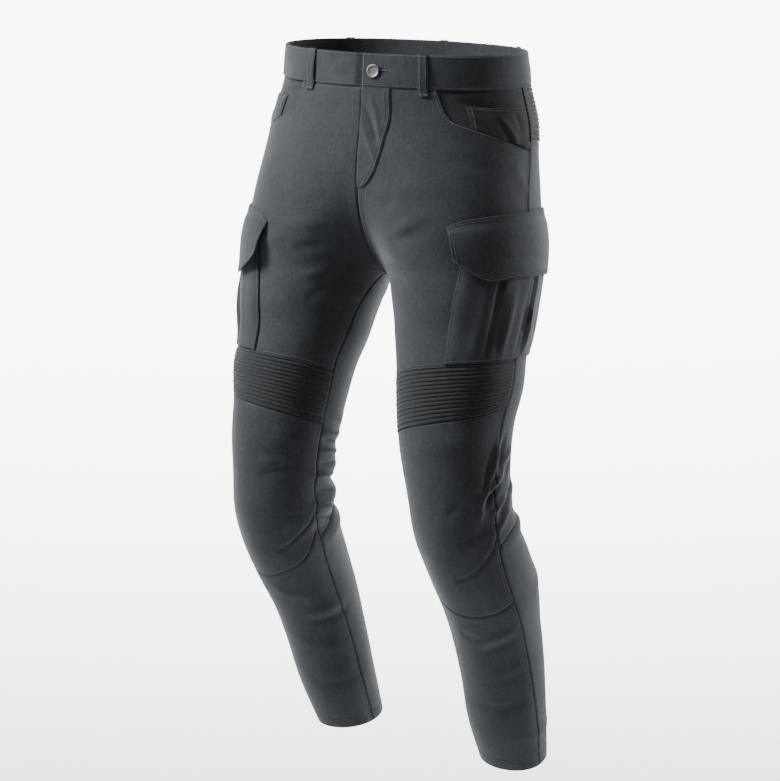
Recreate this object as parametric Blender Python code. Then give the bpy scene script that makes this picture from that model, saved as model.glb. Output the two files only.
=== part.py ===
"""Motorcycle trousers in their worn shape with nobody inside.

Millimetres are used until a body is made, then metres. The front faces -Y, the
wearer's left is +X, up is +Z, and the origin is the centre of the waistband.
The form is one half ring per side, stacked by its drop below the origin. A ring
angle is 0 at the outer side of the leg, negative toward the front and positive
toward the back. Above the crotch the two half rings end on the centre plane.
"""

import math

import bpy
import numpy as np

CLOTH = 1.6
SEAM_GAP = 0.3
ON_TOP = 0.9
CROTCH = 278.0
HEM = 968.0
BAND_TOP = -21.0
BAND_FOOT = 21.0
WAIST_TILT = 4.4
RIGHT_LEG_SHIFT = (-8.0, -10.0, 23.0)
RIGHT_LEG_REACH = 700.0
CORNER_FILL = 0.02
PANEL_COLUMNS = 8

# Looks: base colour, then roughness and metalness where they aren't those of cloth.
CHARCOAL = ((0.075, 0.082, 0.092),)
DARK = ((0.03, 0.032, 0.036),)
GREY_METAL = ((0.33, 0.34, 0.35), 0.4, 0.9)

RING_COLUMNS = (
    "drop", "across", "along", "pitch", "roll", "outer", "inner", "front", "back",
    "merge", "outseam", "inseam",
)
RINGS = (
    (-30, 0, 0, 6.5, 0, 166, 163, 120, 119, 0, -4, 0),
    (21, 0, 0, 6.5, 0, 171, 169, 124, 126, 0, -3, 0),
    (70, 21, -5, 4.0, 0, 162, 160, 123, 136, 6, -2, 0),
    (120, 42, -20, 1.5, 0, 147, 140, 118, 143, 12, 0, 0),
    (170, 67, -34, -1.0, 0, 130, 112, 112, 145, 20, -4, 0),
    (225, 88, -43, -4.0, 0, 116, 87, 108, 137, 25, -5, 0),
    (278, 102, -50, -7.0, 1, 102, 77, 99, 119, 25, -6, 0),
    (320, 107, -60, -9.5, 3, 95, 79, 96, 107, 14, -7, 10),
    (360, 111, -69, -12.0, 4, 89, 79, 90, 93, 0, -9, 16),
    (405, 119, -85, -12.5, 4, 84, 77, 86, 84, 0, -10, 18),
    (450, 121, -97, -12.0, 4, 76, 73, 81, 76, 0, -13, 18),
    (500, 125, -105, -8.0, 3, 71, 70, 76, 70, 0, -17, 18),
    (550, 130, -102, 0.0, 1, 66, 66, 73, 66, 0, -22, 19),
    (600, 135, -90, 11.0, -1, 66, 66, 74, 66, 0, -28, 20),
    (650, 140, -63, 20.0, -2, 65, 65, 70, 71, 0, -32, 20),
    (700, 142, -32, 24.0, -3, 63, 63, 64, 73, 0, -32, 20),
    (760, 138, 2, 25.0, -4, 59, 59, 58, 68, 0, -27, 20),
    (820, 135, 30, 23.0, -4, 57, 57, 55, 62, 0, -24, 18),
    (880, 131, 54, 18.0, -3, 55, 55, 54, 57, 0, -18, 17),
    (970, 125, 97, 8.0, 4, 47, 47, 48, 49, 0, -16, 16),
)

# Large folds: height in mm at angle and drop, with the half width along each and a slope.
FOLD_COLUMNS = ("side", "angle", "drop", "angle_width", "drop_width", "slope", "height")
FOLDS = (
    (1, 62, 545, 60, 11, 0.10, 3.5),
    (1, 95, 572, 70, 9, -0.05, -4.0),
    (1, 60, 594, 55, 10, -0.20, 4.5),
    (1, 120, 620, 60, 11, 0.10, -3.0),
    (-1, 150, 545, 60, 10, 0.10, 3.5),
    (-1, 120, 568, 70, 9, -0.10, -4.0),
    (-1, 150, 590, 50, 11, 0.15, 4.0),
    (-1, 160, 618, 45, 9, 0.20, -3.5),
    (-1, 150, 640, 50, 11, 0.15, 3.0),
)

# Edges of the cut pieces. Share runs from the centre front or inseam (0) to the outseam (1).
RIB_TOP = ((0.0, 421), (0.5, 402), (0.8, 388), (1.0, 376))
RIB_FOOT = ((0.0, 487), (0.5, 466), (0.8, 449), (1.0, 432))
KNEE_FOOT = {
    1: ((0.0, 640), (0.18, 672), (0.4, 688), (0.65, 691), (0.85, 689), (1.0, 684)),
    -1: ((0.0, 622), (0.18, 654), (0.4, 669), (0.65, 683), (0.85, 687), (1.0, 686)),
}
BACK_FOOT = ((0.0, 636), (0.5, 598), (0.85, 594), (1.0, 607))
YOKE_FOOT = ((0.0, 104), (1.0, 95))
POCKET_OPENING = (
    (21, -56), (40, -55.5), (58, -54.5), (66, -52.5), (72, -47.5), (79, -39.5),
    (89, -28), (98, -16), (107, -3),
)

# Rows of the panels, as drops along the inner and the outer edge.
FRONT_ROWS = (
    (21, 21), (46, 40), (72, 58), (96, 66), (116, 72), (134, 79), (151, 89), (168, 98),
    (184, 107), (204, 132), (222, 158), (238, 184), (252, 210), (264, 234), (273, 254),
    (278, 270), (292, 290), (318, 312), (348, 334), (384, 354), (421, 376),
)
BACK_ROWS = (
    (104, 95), (132, 107), (160, 132), (186, 158), (208, 184), (230, 210), (250, 234),
    (266, 254), (275, 263), (278, 270), (292, 290), (318, 312), (348, 334), (384, 354),
    (421, 376), (443, 395), (465, 414), (487, 432), (502, 449), (517, 467), (532, 484),
    (547, 501), (562, 519), (577, 536), (592, 554), (607, 572), (621, 589), (636, 607),
)
KNEE_ROW_COUNT = 17
SHIN_ROW_COUNT = 14
CALF_UPPER_ROW_COUNT = 6

RIB_COUNT = 13
RIB_HEIGHT = 1.1
YOKE_RIB_COUNT = 14
YOKE_RIB_HEIGHT = 1.2

# Under-pocket cloth and coin pocket, as drops along the share from front to side seam.
FACING_DEPTH = -2.7
FACING_WALL = 1.3
FACING_FOOT = 113.0
FACING_OVERLAP = 4.5
COIN_TOP = ((0.0, 43.5), (1.0, 48.0))
COIN_FRONT = -44.5
COIN_WALL = 1.1

# Fly: the doubled cloth on the wearer's left, from the centre front to its curved edge.
FLY_EDGE = (
    (21, -76.5), (60, -81), (87, -86), (116, -92), (135, -97.5), (149, -103.5), (158, -108.5),
    (164, -112),
)
FLY_ROWS = (21.15, 44, 66, 87, 102, 116, 127, 137, 146, 153, 159, 163)
FLY_WALL = 1.1

# Thigh pocket and flap: drops by share from front edge to rear edge, and edges in degrees by drop.
FLAP_TOP = ((0.0, 215), (0.14, 203), (0.28, 196), (0.43, 191), (0.6, 188), (0.8, 185), (1.0, 183))
FLAP_FOOT = ((0.0, 259), (0.19, 285), (0.37, 277), (0.61, 271), (0.9, 265), (1.0, 262))
FLAP_EDGES = (-67.0, 41.0)
FLAP_COLUMNS = (0.0, 0.07, 0.13, 0.19, 0.28, 0.37, 0.48, 0.61, 0.76, 0.9, 1.0)
FLAP_LIFT = ((0.0, 1.1), (0.1, 1.8), (0.22, 4.3), (0.35, 5.7), (0.5, 7.0), (0.75, 8.2), (1.0, 8.9))
FLAP_CORNER_FLARE = {1: 1.5, -1: 6.0}
FLAP_WALL = 1.8
POCKET_BELOW_FLAP = 18.0
POCKET_FOOT = ((0.0, 396), (0.23, 388), (0.62, 371), (1.0, 359))
POCKET_FRONT = ((230, -61), (261, -63), (312, -69), (365, -74), (405, -78))
POCKET_REAR = 36.0
POCKET_SECTION = (
    (0.0, 0.0), (0.04, 0.55), (0.14, 0.85), (0.25, 0.95), (0.29, 0.4), (0.33, 0.95), (0.45, 1.0),
    (0.57, 1.0), (0.61, 0.4), (0.65, 1.0), (0.8, 0.95), (0.95, 0.5), (1.0, 0.0),
)
POCKET_FULLNESS = (
    (0.0, 0.08), (0.08, 0.35), (0.2, 0.8), (0.35, 1.0), (0.6, 1.0), (0.82, 0.8), (0.94, 0.4), (1.0, 0.0),
)
POCKET_BULGE = 3.6

# Waistband and closing. Columns are lengths in mm from the centre front.
BAND_LIFT = 0.8
BAND_UNDER = -2.0
BAND_LENGTH = 466.0
BAND_ROWS = (-21.0, -11.0, -1.4, 0.4, 1.6, 3.4, 12.0, 21.0)
BAND_LEFT_COLUMNS = (0.0, 7.0, 13.6, 18.4, 28.0, 38.0)
BAND_RIGHT_COLUMNS = (-42.0, -28.0, -14.0, -2.0, 3.0, 9.0, 20.0, 38.0)
BAND_LAST_COLUMNS = 23
UNDERLAP_LIFT = -2.75
BUTTONHOLE_CELLS = ((2, 2), (3, 2), (4, 2), (3, 3), (3, 4))
BUTTON_FROM_FRONT = 16.0
BUTTON_DROP = 1.0
BUTTON_SEGMENTS = 20
BUTTON_PROFILE = (
    (0.0, 3.2), (5.6, 3.2), (7.2, 3.7), (8.4, 3.5), (9.0, 2.8), (9.0, 2.0), (8.3, 1.4), (1.8, 1.4),
    (1.8, -2.4), (0.0, -2.4),
)

# Belt loops: width, wall, and the lift of the inner face down the loop.
LOOP_WIDTH = 12.0
LOOP_WALL = 1.4
LOOP_FRONT_LIFT = ((-22, 1.5), (-17, 1.6), (-8, 2.7), (4, 3.1), (14, 2.6), (21.5, 1.5), (26, 0.8), (31, 0.7))
LOOP_BACK_LIFT = ((-22, 1.5), (-17, 1.6), (-8, 2.7), (4, 3.1), (14, 2.8), (21.5, 2.0), (26, 1.8), (31, 1.8))
LOOP_PLACES = (
    ("loop_front_left", 1, -62.5, LOOP_FRONT_LIFT),
    ("loop_front_right", -1, -62.5, LOOP_FRONT_LIFT),
    ("loop_back_left", 1, 42.0, LOOP_BACK_LIFT),
    ("loop_back_right", -1, 42.0, LOOP_BACK_LIFT),
    ("loop_centre_back", 1, 90.0, LOOP_BACK_LIFT),
)


def ring_slopes():
    """Tangent of every ring column at every ring."""
    table = np.array(RINGS, float)
    steps = np.diff(table[:, 0])[:, None]
    chords = np.diff(table, axis=0) / steps
    slopes = np.empty_like(table)
    slopes[1:-1] = (chords[:-1] * steps[1:] + chords[1:] * steps[:-1]) / (steps[1:] + steps[:-1])
    slopes[0] = chords[0]
    slopes[-1] = chords[-1]
    return table, slopes


RING_TABLE, RING_SLOPES = ring_slopes()


def ring_values(drop):
    """The ring columns at a drop, as a dictionary of arrays."""
    drop = np.asarray(drop, float)
    levels = RING_TABLE[:, 0]
    k = np.clip(np.searchsorted(levels, drop) - 1, 0, len(levels) - 2)
    step = levels[k + 1] - levels[k]
    t = (drop - levels[k]) / step
    t2 = t * t
    t3 = t2 * t
    values = {}
    for i, name in enumerate(RING_COLUMNS):
        start, end = RING_TABLE[k, i], RING_TABLE[k + 1, i]
        out, into = RING_SLOPES[k, i] * step, RING_SLOPES[k + 1, i] * step
        values[name] = (
            (2 * t3 - 3 * t2 + 1) * start + (t3 - 2 * t2 + t) * out
            + (3 * t2 - 2 * t3) * end + (t3 - t2) * into
        )
    for name in ("across", "merge"):
        values[name] = np.maximum(values[name], 0.0)
    return values


def last_angle(drop):
    """Angle at which the half ring ends: on the centre plane above the crotch, 180 degrees below."""
    values = ring_values(drop)
    reach = np.clip((values["across"] - values["merge"]) / values["inner"], 0.0, 1.0)
    reach = np.where(np.asarray(drop) >= CROTCH, 1.0, reach)
    low = np.zeros_like(reach)
    high = np.full_like(reach, math.pi / 2)
    for _ in range(36):
        middle = (low + high) / 2
        found = np.cos(middle) * (1 + CORNER_FILL * np.sin(2 * middle) ** 2)
        high = np.where(found < reach, middle, high)
        low = np.where(found < reach, low, middle)
    return math.pi - np.where(reach >= 1.0, 0.0, (low + high) / 2)


def fold_height(side, angle, drop):
    """Height of the large folds, in mm."""
    total = np.zeros(np.broadcast(side, angle, drop).shape)
    degrees = np.degrees(angle)
    for row in FOLDS:
        fold = dict(zip(FOLD_COLUMNS, row))
        turn = (degrees - fold["angle"] + 180) % 360 - 180
        along = drop - fold["drop"] - fold["slope"] * turn
        shape = np.exp(-((turn / fold["angle_width"]) ** 2) - (along / fold["drop_width"]) ** 2)
        total = total + np.where(np.sign(side) == fold["side"], fold["height"] * shape, 0.0)
    return total


def form_point(side, share, drop):
    """Point of the outer face. Share is the angle over the last one; past 1 it crosses the centre plane."""
    end = last_angle(drop)
    crosses = (np.abs(share) > 1) & (end < math.pi)
    side = np.where(crosses, -side, side)
    share = np.where(crosses, np.sign(share) * (2 - np.abs(share)), share)
    angle = share * end
    v = ring_values(drop)
    cos, sin = np.cos(angle), np.sin(angle)
    fill = 1 + CORNER_FILL * np.sin(2 * angle) ** 2
    wide = np.where(cos > 0, v["outer"], v["inner"]) * cos * fill
    deep = np.where(sin > 0, v["back"], v["front"]) * sin * fill
    roll, pitch = np.radians(v["roll"]), np.radians(v["pitch"])
    reach = v["across"] + wide * np.cos(roll)
    x = side * np.sqrt(np.maximum(reach ** 2 - v["merge"] ** 2, 0.0)) * (reach > 0)
    y = v["along"] + deep * np.cos(pitch)
    z = -drop + deep * np.sin(pitch) - wide * np.sin(roll)
    up = np.clip((CROTCH - drop) / CROTCH, 0.0, 1.0)
    z = z - x * math.tan(math.radians(WAIST_TILT)) * up * up * (3 - 2 * up)
    down = np.clip((drop - CROTCH) / RIGHT_LEG_REACH, 0.0, 1.0) * (side < 0)
    x = x + RIGHT_LEG_SHIFT[0] * down ** 2
    y = y + RIGHT_LEG_SHIFT[1] * down ** 2
    z = z + RIGHT_LEG_SHIFT[2] * down
    return np.stack([x, y, z], -1)


def form_normal(side, share, drop):
    """Unit normal of the form, pointing out of the garment."""
    turn, fall = 0.004, 0.8
    around = form_point(side, share + turn, drop) - form_point(side, share - turn, drop)
    along = form_point(side, share, drop + fall) - form_point(side, share, drop - fall)
    normal = np.cross(around, along) * -np.asarray(side, float)[..., None]
    return normal / np.linalg.norm(normal, axis=-1, keepdims=True)


def lifted(side, share, drop, lift):
    """Point at a lift from the folded form."""
    side, share, drop, lift = np.broadcast_arrays(side, share, drop, lift)
    fold = fold_height(side, share * last_angle(drop), drop)
    return form_point(side, share, drop) + form_normal(side, share, drop) * (lift + fold)[..., None]


def along_rows(rows, share):
    """Value of a two-column table at a share."""
    rows = np.array(rows, float)
    return np.interp(share, rows[:, 0], rows[:, 1])


def seam_angle(name, drop):
    """Angle of a seam in radians, from the ring table."""
    return np.radians(ring_values(drop)[name])


def outseam(drop):
    return seam_angle("outseam", drop)


def front_inner(drop):
    return -last_angle(drop) + np.where(drop > CROTCH, seam_angle("inseam", drop), 0.0)


def back_inner(drop):
    return last_angle(drop) + np.where(drop > CROTCH, seam_angle("inseam", drop), 0.0)


def even_shares(side, first, last, drop, columns, gap=SEAM_GAP / 2):
    """Ring shares at even steps of length between two angles, kept half a seam gap off both."""
    steps = (1 - np.cos(np.linspace(0, math.pi, 61))) / 2
    end = last_angle(drop)[..., None]
    angles = first[..., None] + (last - first)[..., None] * steps
    points = form_point(side, angles / end, np.broadcast_to(drop[..., None], angles.shape))
    lengths = np.linalg.norm(np.diff(points, axis=-2), axis=-1)
    run = np.concatenate([np.zeros_like(lengths[..., :1]), np.cumsum(lengths, axis=-1)], axis=-1)
    flat_run = run.reshape(-1, run.shape[-1])
    flat_angles = angles.reshape(-1, run.shape[-1])
    flat_columns = np.broadcast_to(columns, drop.shape).reshape(-1)
    found = np.empty(len(flat_columns))
    for i, column in enumerate(flat_columns):
        total = flat_run[i, -1]
        found[i] = np.interp(gap + column * (total - 2 * gap), flat_run[i], flat_angles[i])
    return found.reshape(drop.shape) / end[..., 0]


def make_material(name, colour, roughness=0.85, metal=0.0):
    material = bpy.data.materials.new(name)
    material.use_nodes = True
    shader = material.node_tree.nodes["Principled BSDF"]
    shader.inputs["Base Color"].default_value = (*colour, 1.0)
    shader.inputs["Roughness"].default_value = roughness
    shader.inputs["Metallic"].default_value = metal
    return material


def make_object(name, points, faces, look):
    """One closed body in metres, with its own material."""
    mesh = bpy.data.meshes.new(name)
    mesh.from_pydata((np.asarray(points) * 0.001).tolist(), [], [list(f) for f in faces])
    mesh.update()
    obj = bpy.data.objects.new(name, mesh)
    obj.data.materials.append(make_material(name + "_look", *look))
    bpy.context.scene.collection.objects.link(obj)
    return obj


def shell_faces(outer, kept):
    """Faces of a sheet's two sides and its edges, round the kept cells. Both sides are split the same way."""
    rows, columns = outer.shape[:2]
    grid = np.arange(rows * columns).reshape(rows, columns)
    points = outer.reshape(-1, 3)
    offset = rows * columns
    faces = []
    edges = set()
    for i, j in np.argwhere(kept):
        ring = [int(n) for n in (grid[i, j], grid[i, j + 1], grid[i + 1, j + 1], grid[i + 1, j])]
        a, b, c, d = ring
        if np.linalg.norm(points[a] - points[c]) > np.linalg.norm(points[b] - points[d]):
            a, b, c, d = b, c, d, a
        for corners in ([a, b, c], [a, c, d]):
            faces.append(corners)
            faces.append([n + offset for n in reversed(corners)])
        edges.update(zip(ring, ring[1:] + ring[:1]))
    for a, b in sorted(edges):
        if (b, a) not in edges:
            faces.append([b, a, a + offset, b + offset])
    return faces


def make_sheet(name, side, share, drop, top_lift, under_lift, look, kept=None):
    """A cloth piece from a grid of ring shares and drops."""
    outer = lifted(side, share, drop, top_lift)
    inner = lifted(side, share, drop, under_lift)
    rows, columns = drop.shape
    if kept is None:
        kept = np.ones((rows - 1, columns - 1), bool)
    points = np.concatenate([outer.reshape(-1, 3), inner.reshape(-1, 3)])
    faces = shell_faces(outer, kept)
    used = sorted({n for face in faces for n in face})
    index = {n: k for k, n in enumerate(used)}
    faces = [[index[n] for n in face] for face in faces]
    points = points[used]
    if enclosed_volume(points, faces) < 0:
        faces = [face[::-1] for face in faces]
    return make_object(name, points, faces, look)


def enclosed_volume(points, faces):
    total = 0.0
    for face in faces:
        a = points[face[0]]
        for n in range(1, len(face) - 1):
            total += float(np.dot(a, np.cross(points[face[n]], points[face[n + 1]])))
    return total / 6


def panel_grid(side, rows, top, foot, first, last, columns):
    """Shares and drops of a panel. Rows holds the drops along its inner and its outer edge."""
    rows = np.array(rows, float)
    part = (rows - rows[0]) / (rows[-1] - rows[0])
    down = part[:, :1] * (1 - columns) + part[:, 1:] * columns
    start = along_rows(top, columns) + SEAM_GAP / 2
    end = along_rows(foot, columns) - SEAM_GAP / 2
    drop = start + (end - start) * down
    return even_shares(side, first(drop), last(drop), drop, columns), drop


def even_rows(first, last, count):
    """Row pairs at even steps between two pairs."""
    one, other = (np.linspace(a, b, count + 1) for a, b in zip(first, last))
    return tuple(zip(one, other))


def ends(rows):
    """First and last value of a table by share."""
    return rows[0][1], rows[-1][1]


def rib_lift(count, rows, height):
    """Lift of each grid row of a ribbed piece, with a crest between two valleys for each rib."""
    lift = np.zeros(rows)
    lift[1::2] = height
    assert rows == 2 * count + 1
    return lift[:, None]


def front_panel(side, name, look):
    """From the waistband to the ribbed thigh piece, with the hip pocket's opening cut from its corner."""
    columns = np.linspace(0, 1, PANEL_COLUMNS + 1)

    def outer_edge(drop):
        opening = np.radians(along_rows(POCKET_OPENING, drop))
        return np.where(drop < POCKET_OPENING[-1][0], opening, outseam(drop))

    top = ((0.0, BAND_FOOT), (1.0, BAND_FOOT))
    share, drop = panel_grid(side, FRONT_ROWS, top, RIB_TOP, front_inner, outer_edge, columns)
    return make_sheet(name, side, share, drop, 0.0, -CLOTH, look)


def rib_panel(side, name, look):
    columns = np.linspace(0, 1, PANEL_COLUMNS + 1)
    rows = even_rows(ends(RIB_TOP), ends(RIB_FOOT), 2 * RIB_COUNT)
    share, drop = panel_grid(side, rows, RIB_TOP, RIB_FOOT, front_inner, outseam, columns)
    lift = rib_lift(RIB_COUNT, len(rows), RIB_HEIGHT)
    return make_sheet(name, side, share, drop, lift, -CLOTH, look)


def knee_panel(side, name, look):
    columns = np.linspace(0, 1, PANEL_COLUMNS + 1)
    rows = even_rows(ends(RIB_FOOT), ends(KNEE_FOOT[side]), KNEE_ROW_COUNT)
    share, drop = panel_grid(side, rows, RIB_FOOT, KNEE_FOOT[side], front_inner, outseam, columns)
    return make_sheet(name, side, share, drop, 0.0, -CLOTH, look)


def hem_under_lift(drop):
    """The hem is turned in, so its wall is thicker over the last rows."""
    return -CLOTH - 1.2 * np.clip((drop - (HEM - 26)) / 6, 0.0, 1.0)


def hem_rows(start, count):
    """Rows down to the hem's turned edge, with one where the turning starts."""
    rows = list(even_rows(start, (HEM - 26, HEM - 26), count - 2))
    return tuple(rows + [(HEM - 20, HEM - 20), (HEM, HEM)])


def shin_panel(side, name, look):
    columns = np.linspace(0, 1, PANEL_COLUMNS + 1)
    foot = ((0.0, HEM), (1.0, HEM))
    rows = hem_rows(ends(KNEE_FOOT[side]), SHIN_ROW_COUNT)
    share, drop = panel_grid(side, rows, KNEE_FOOT[side], foot, front_inner, outseam, columns)
    return make_sheet(name, side, share, drop, 0.0, hem_under_lift(drop), look)


def back_panel(side, name, look):
    """From the ribbed yoke to the back of the knee."""
    columns = np.linspace(0, 1, PANEL_COLUMNS + 1)
    share, drop = panel_grid(side, BACK_ROWS, YOKE_FOOT, BACK_FOOT, back_inner, outseam, columns)
    return make_sheet(name, side, share, drop, 0.0, -CLOTH, look)


def calf_panel(side, name, look):
    columns = np.linspace(0, 1, PANEL_COLUMNS + 1)
    foot = ((0.0, HEM), (1.0, HEM))
    knee_foot = KNEE_FOOT[side][-1][1]
    middle = (BACK_FOOT[0][1] + 70, knee_foot)
    rows = list(even_rows(ends(BACK_FOOT), middle, CALF_UPPER_ROW_COUNT))
    rows = tuple(rows + list(hem_rows(middle, SHIN_ROW_COUNT))[1:])
    share, drop = panel_grid(side, rows, BACK_FOOT, foot, back_inner, outseam, columns)
    return make_sheet(name, side, share, drop, 0.0, hem_under_lift(drop), look)


def across_back(columns_each_side):
    """Sides and columns from the right outseam over the centre back to the left outseam."""
    one = np.linspace(0, 1, columns_each_side + 1)
    side = np.concatenate([-np.ones(columns_each_side), np.ones(columns_each_side + 1)])
    columns = np.concatenate([one[:0:-1], one])
    return side, columns


def ribbed_yoke(name, look):
    side, columns = across_back(PANEL_COLUMNS)
    down = np.linspace(0, 1, 2 * YOKE_RIB_COUNT + 1)[:, None]
    start = BAND_FOOT + SEAM_GAP / 2
    end = along_rows(YOKE_FOOT, columns) - SEAM_GAP / 2
    drop = start + (end - start) * down
    side = np.broadcast_to(side, drop.shape)
    share = np.empty_like(drop)
    for sign in (-1, 1):
        here = side == sign
        one = even_shares(sign, back_inner(drop), outseam(drop), drop, columns, 0.0)
        run = even_shares(sign, back_inner(drop), outseam(drop), drop, columns, SEAM_GAP / 2)
        share[here] = (one * (1 - columns) + run * columns)[here]
    lift = rib_lift(YOKE_RIB_COUNT, len(down), YOKE_RIB_HEIGHT)
    return make_sheet(name, side, share, drop, lift, -CLOTH, look)


def facing_lift(columns, drop):
    """Deep under the front panel, and rising to the side seam."""
    rise = np.clip((columns - 0.3) / 0.6, 0.0, 1.0)
    rise = rise * rise * (3 - 2 * rise) * np.clip((96 - drop) / 14, 0.0, 1.0)
    return (FACING_DEPTH - 1.8 * np.clip((drop - 86) / 14, 0.0, 1.0)) * (1 - rise)


def pocket_facing(side, name, look):
    columns = np.linspace(0, 1, 7)
    down = np.linspace(0, 1, 10)[:, None]
    drop = BAND_FOOT + SEAM_GAP / 2 + (FACING_FOOT - BAND_FOOT) * down + 0 * columns
    first = np.radians(along_rows(POCKET_OPENING, drop - 7) - FACING_OVERLAP)
    share = even_shares(side, first, outseam(drop), drop, columns)
    lift = facing_lift(columns, drop)
    return make_sheet(name, side, share, drop, lift, lift - FACING_WALL, look)


def coin_pocket(side, name, look):
    """Small pocket on the facing, cut along the opening."""
    columns = np.linspace(0, 1, 9)
    angle = np.radians(COIN_FRONT + (-5.5 - COIN_FRONT) * columns)
    opening = np.array(POCKET_OPENING, float)
    foot = np.interp(np.degrees(angle), opening[:, 1], opening[:, 0]) - 1.6
    start = along_rows(COIN_TOP, columns)
    drop = start + (foot - start) * np.linspace(0, 1, 6)[:, None]
    share = angle / last_angle(drop)
    opening_angle = np.radians(along_rows(POCKET_OPENING, drop - 7) - FACING_OVERLAP)
    on_facing = (angle - opening_angle) / (outseam(drop) - opening_angle)
    lift = facing_lift(on_facing, drop) + ON_TOP
    return make_sheet(name, side, share, drop, lift + COIN_WALL, lift, look)


def fly(name, look):
    columns = np.linspace(0, 1, 4)
    drop = np.array(FLY_ROWS)[:, None] + 0 * columns
    last = np.radians(along_rows(FLY_EDGE, drop))
    share = even_shares(1, front_inner(drop), last, drop, columns)
    return make_sheet(name, 1, share, drop, ON_TOP + FLY_WALL, ON_TOP, look)


def cargo_pocket(side, name, look):
    """Thigh pocket with two upright pleats, fastened close to the leg round its edges."""
    section = np.array(POCKET_SECTION, float)
    fullness = np.array(POCKET_FULLNESS, float)
    columns, down = section[:, 0], fullness[:, :1]
    start = along_rows(FLAP_TOP, columns) + POCKET_BELOW_FLAP
    drop = start + (along_rows(POCKET_FOOT, columns) - start) * down
    first = np.radians(along_rows(POCKET_FRONT, drop))
    share = even_shares(side, first, np.radians(POCKET_REAR) + 0 * drop, drop, columns, 0.0)
    lift = ON_TOP + POCKET_BULGE * section[:, 1] * fullness[:, 1:]
    return make_sheet(name, side, share, drop, lift + CLOTH, lift, look)


def cargo_flap(side, name, look):
    """Flap sewn on above the pocket, with a cut front corner that stands off the leg."""
    columns = np.array(FLAP_COLUMNS)
    rows = np.array(FLAP_LIFT, float)
    down = rows[:, :1]
    start = along_rows(FLAP_TOP, columns)
    drop = start + (along_rows(FLAP_FOOT, columns) - start) * down
    first, last = np.radians(FLAP_EDGES)
    share = even_shares(side, first + 0 * drop, last + 0 * drop, drop, columns, 0.0)
    corner = np.clip(1 - columns / 0.3, 0.0, 1.0)
    lift = rows[:, 1:] + FLAP_CORNER_FLARE[side] * corner * down ** 2
    return make_sheet(name, side, share, drop, lift + FLAP_WALL, lift, look)


def band_shares(side, lengths):
    """Shares and sides on the waistband at lengths from the centre front, negative past it."""
    lengths = np.asarray(lengths, float)
    drop = np.array(BAND_ROWS)[:, None] + 0 * lengths
    drop[-1] -= SEAM_GAP / 2
    end = last_angle(drop)
    place = even_shares(side, -end, end, drop, np.abs(lengths) / BAND_LENGTH, 0.0)
    sides = np.where(lengths < 0, -side, side) + 0 * drop
    return sides, place, drop


def waistband_left(name, look):
    """Laps over the other end, and holds the buttonhole."""
    rest = np.linspace(BAND_LEFT_COLUMNS[-1], BAND_LENGTH - SEAM_GAP / 2, BAND_LAST_COLUMNS)[1:]
    lengths = np.concatenate([BAND_LEFT_COLUMNS, rest])
    lengths[0] = SEAM_GAP / 2
    side, share, drop = band_shares(1, lengths)
    kept = np.ones((len(BAND_ROWS) - 1, len(lengths) - 1), bool)
    for row, column in BUTTONHOLE_CELLS:
        kept[row, column] = False
    return make_sheet(name, side, share, drop, BAND_LIFT, BAND_UNDER, look, kept)


def waistband_right(name, look):
    """Dips under the other end at the centre front."""
    rest = np.linspace(BAND_RIGHT_COLUMNS[-1], BAND_LENGTH - SEAM_GAP / 2, BAND_LAST_COLUMNS)[1:]
    lengths = np.concatenate([BAND_RIGHT_COLUMNS, rest])
    side, share, drop = band_shares(-1, lengths)
    rise = np.clip((lengths - 3) / 6, 0.0, 1.0)
    lift = UNDERLAP_LIFT + (BAND_LIFT - UNDERLAP_LIFT) * rise + 0 * drop
    return make_sheet(name, side, share, drop, lift, lift - (BAND_LIFT - BAND_UNDER), look)


def moved_along(side, share, drop, length):
    """The share a length in mm further round the ring."""
    step = 0.05
    span = form_point(side, share + step, drop) - form_point(side, share - step, drop)
    return share + length * 2 * step / np.linalg.norm(span, axis=-1)


def belt_loop(name, side, angle, profile, look):
    rows = np.array(profile, float)
    across = np.array([-0.5, 0.0, 0.5]) * LOOP_WIDTH
    drop = rows[:, :1] + 0 * across
    sides = side + 0 * drop
    share = np.radians(angle) / last_angle(drop)
    if angle >= 90.0:
        share = np.ones_like(drop)
    share = moved_along(sides, share, drop, across)
    lift = rows[:, 1:] + 0 * across
    return make_sheet(name, sides, share, drop, lift + LOOP_WALL, lift, look)


def button(name, look):
    """Turned button with a plain dished face. Its shank goes through the buttonhole to the underlap."""
    drop = np.array([[BUTTON_DROP]])
    end = last_angle(drop)
    share = even_shares(1, -end, end, drop, np.array([[BUTTON_FROM_FRONT / BAND_LENGTH]]), 0.0)
    centre = form_point(1, share, drop)[0, 0]
    normal = form_normal(1, share, drop)[0, 0]
    right = np.cross([0.0, 0.0, 1.0], normal)
    right = right / np.linalg.norm(right)
    up = np.cross(normal, right)
    points = []
    for radius, height in BUTTON_PROFILE:
        turns = [0.0] if radius == 0 else np.arange(BUTTON_SEGMENTS) * 2 * math.pi / BUTTON_SEGMENTS
        for turn in turns:
            points.append(centre + normal * height + radius * (math.cos(turn) * right + math.sin(turn) * up))
    last = len(points) - 1
    count = BUTTON_SEGMENTS
    faces = []
    for k in range(count):
        after = (k + 1) % count
        faces.append([0, 1 + k, 1 + after])
        for ring in range(len(BUTTON_PROFILE) - 3):
            a, b = 1 + ring * count + k, 1 + ring * count + after
            faces.append([a, a + count, b + count, b])
        start = 1 + (len(BUTTON_PROFILE) - 3) * count
        faces.append([last, start + after, start + k])
    points = np.array(points)
    if enclosed_volume(points, faces) < 0:
        faces = [face[::-1] for face in faces]
    return make_object(name, points, faces, look)


def clear_scene():
    for obj in list(bpy.data.objects):
        bpy.data.objects.remove(obj, do_unlink=True)


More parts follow.
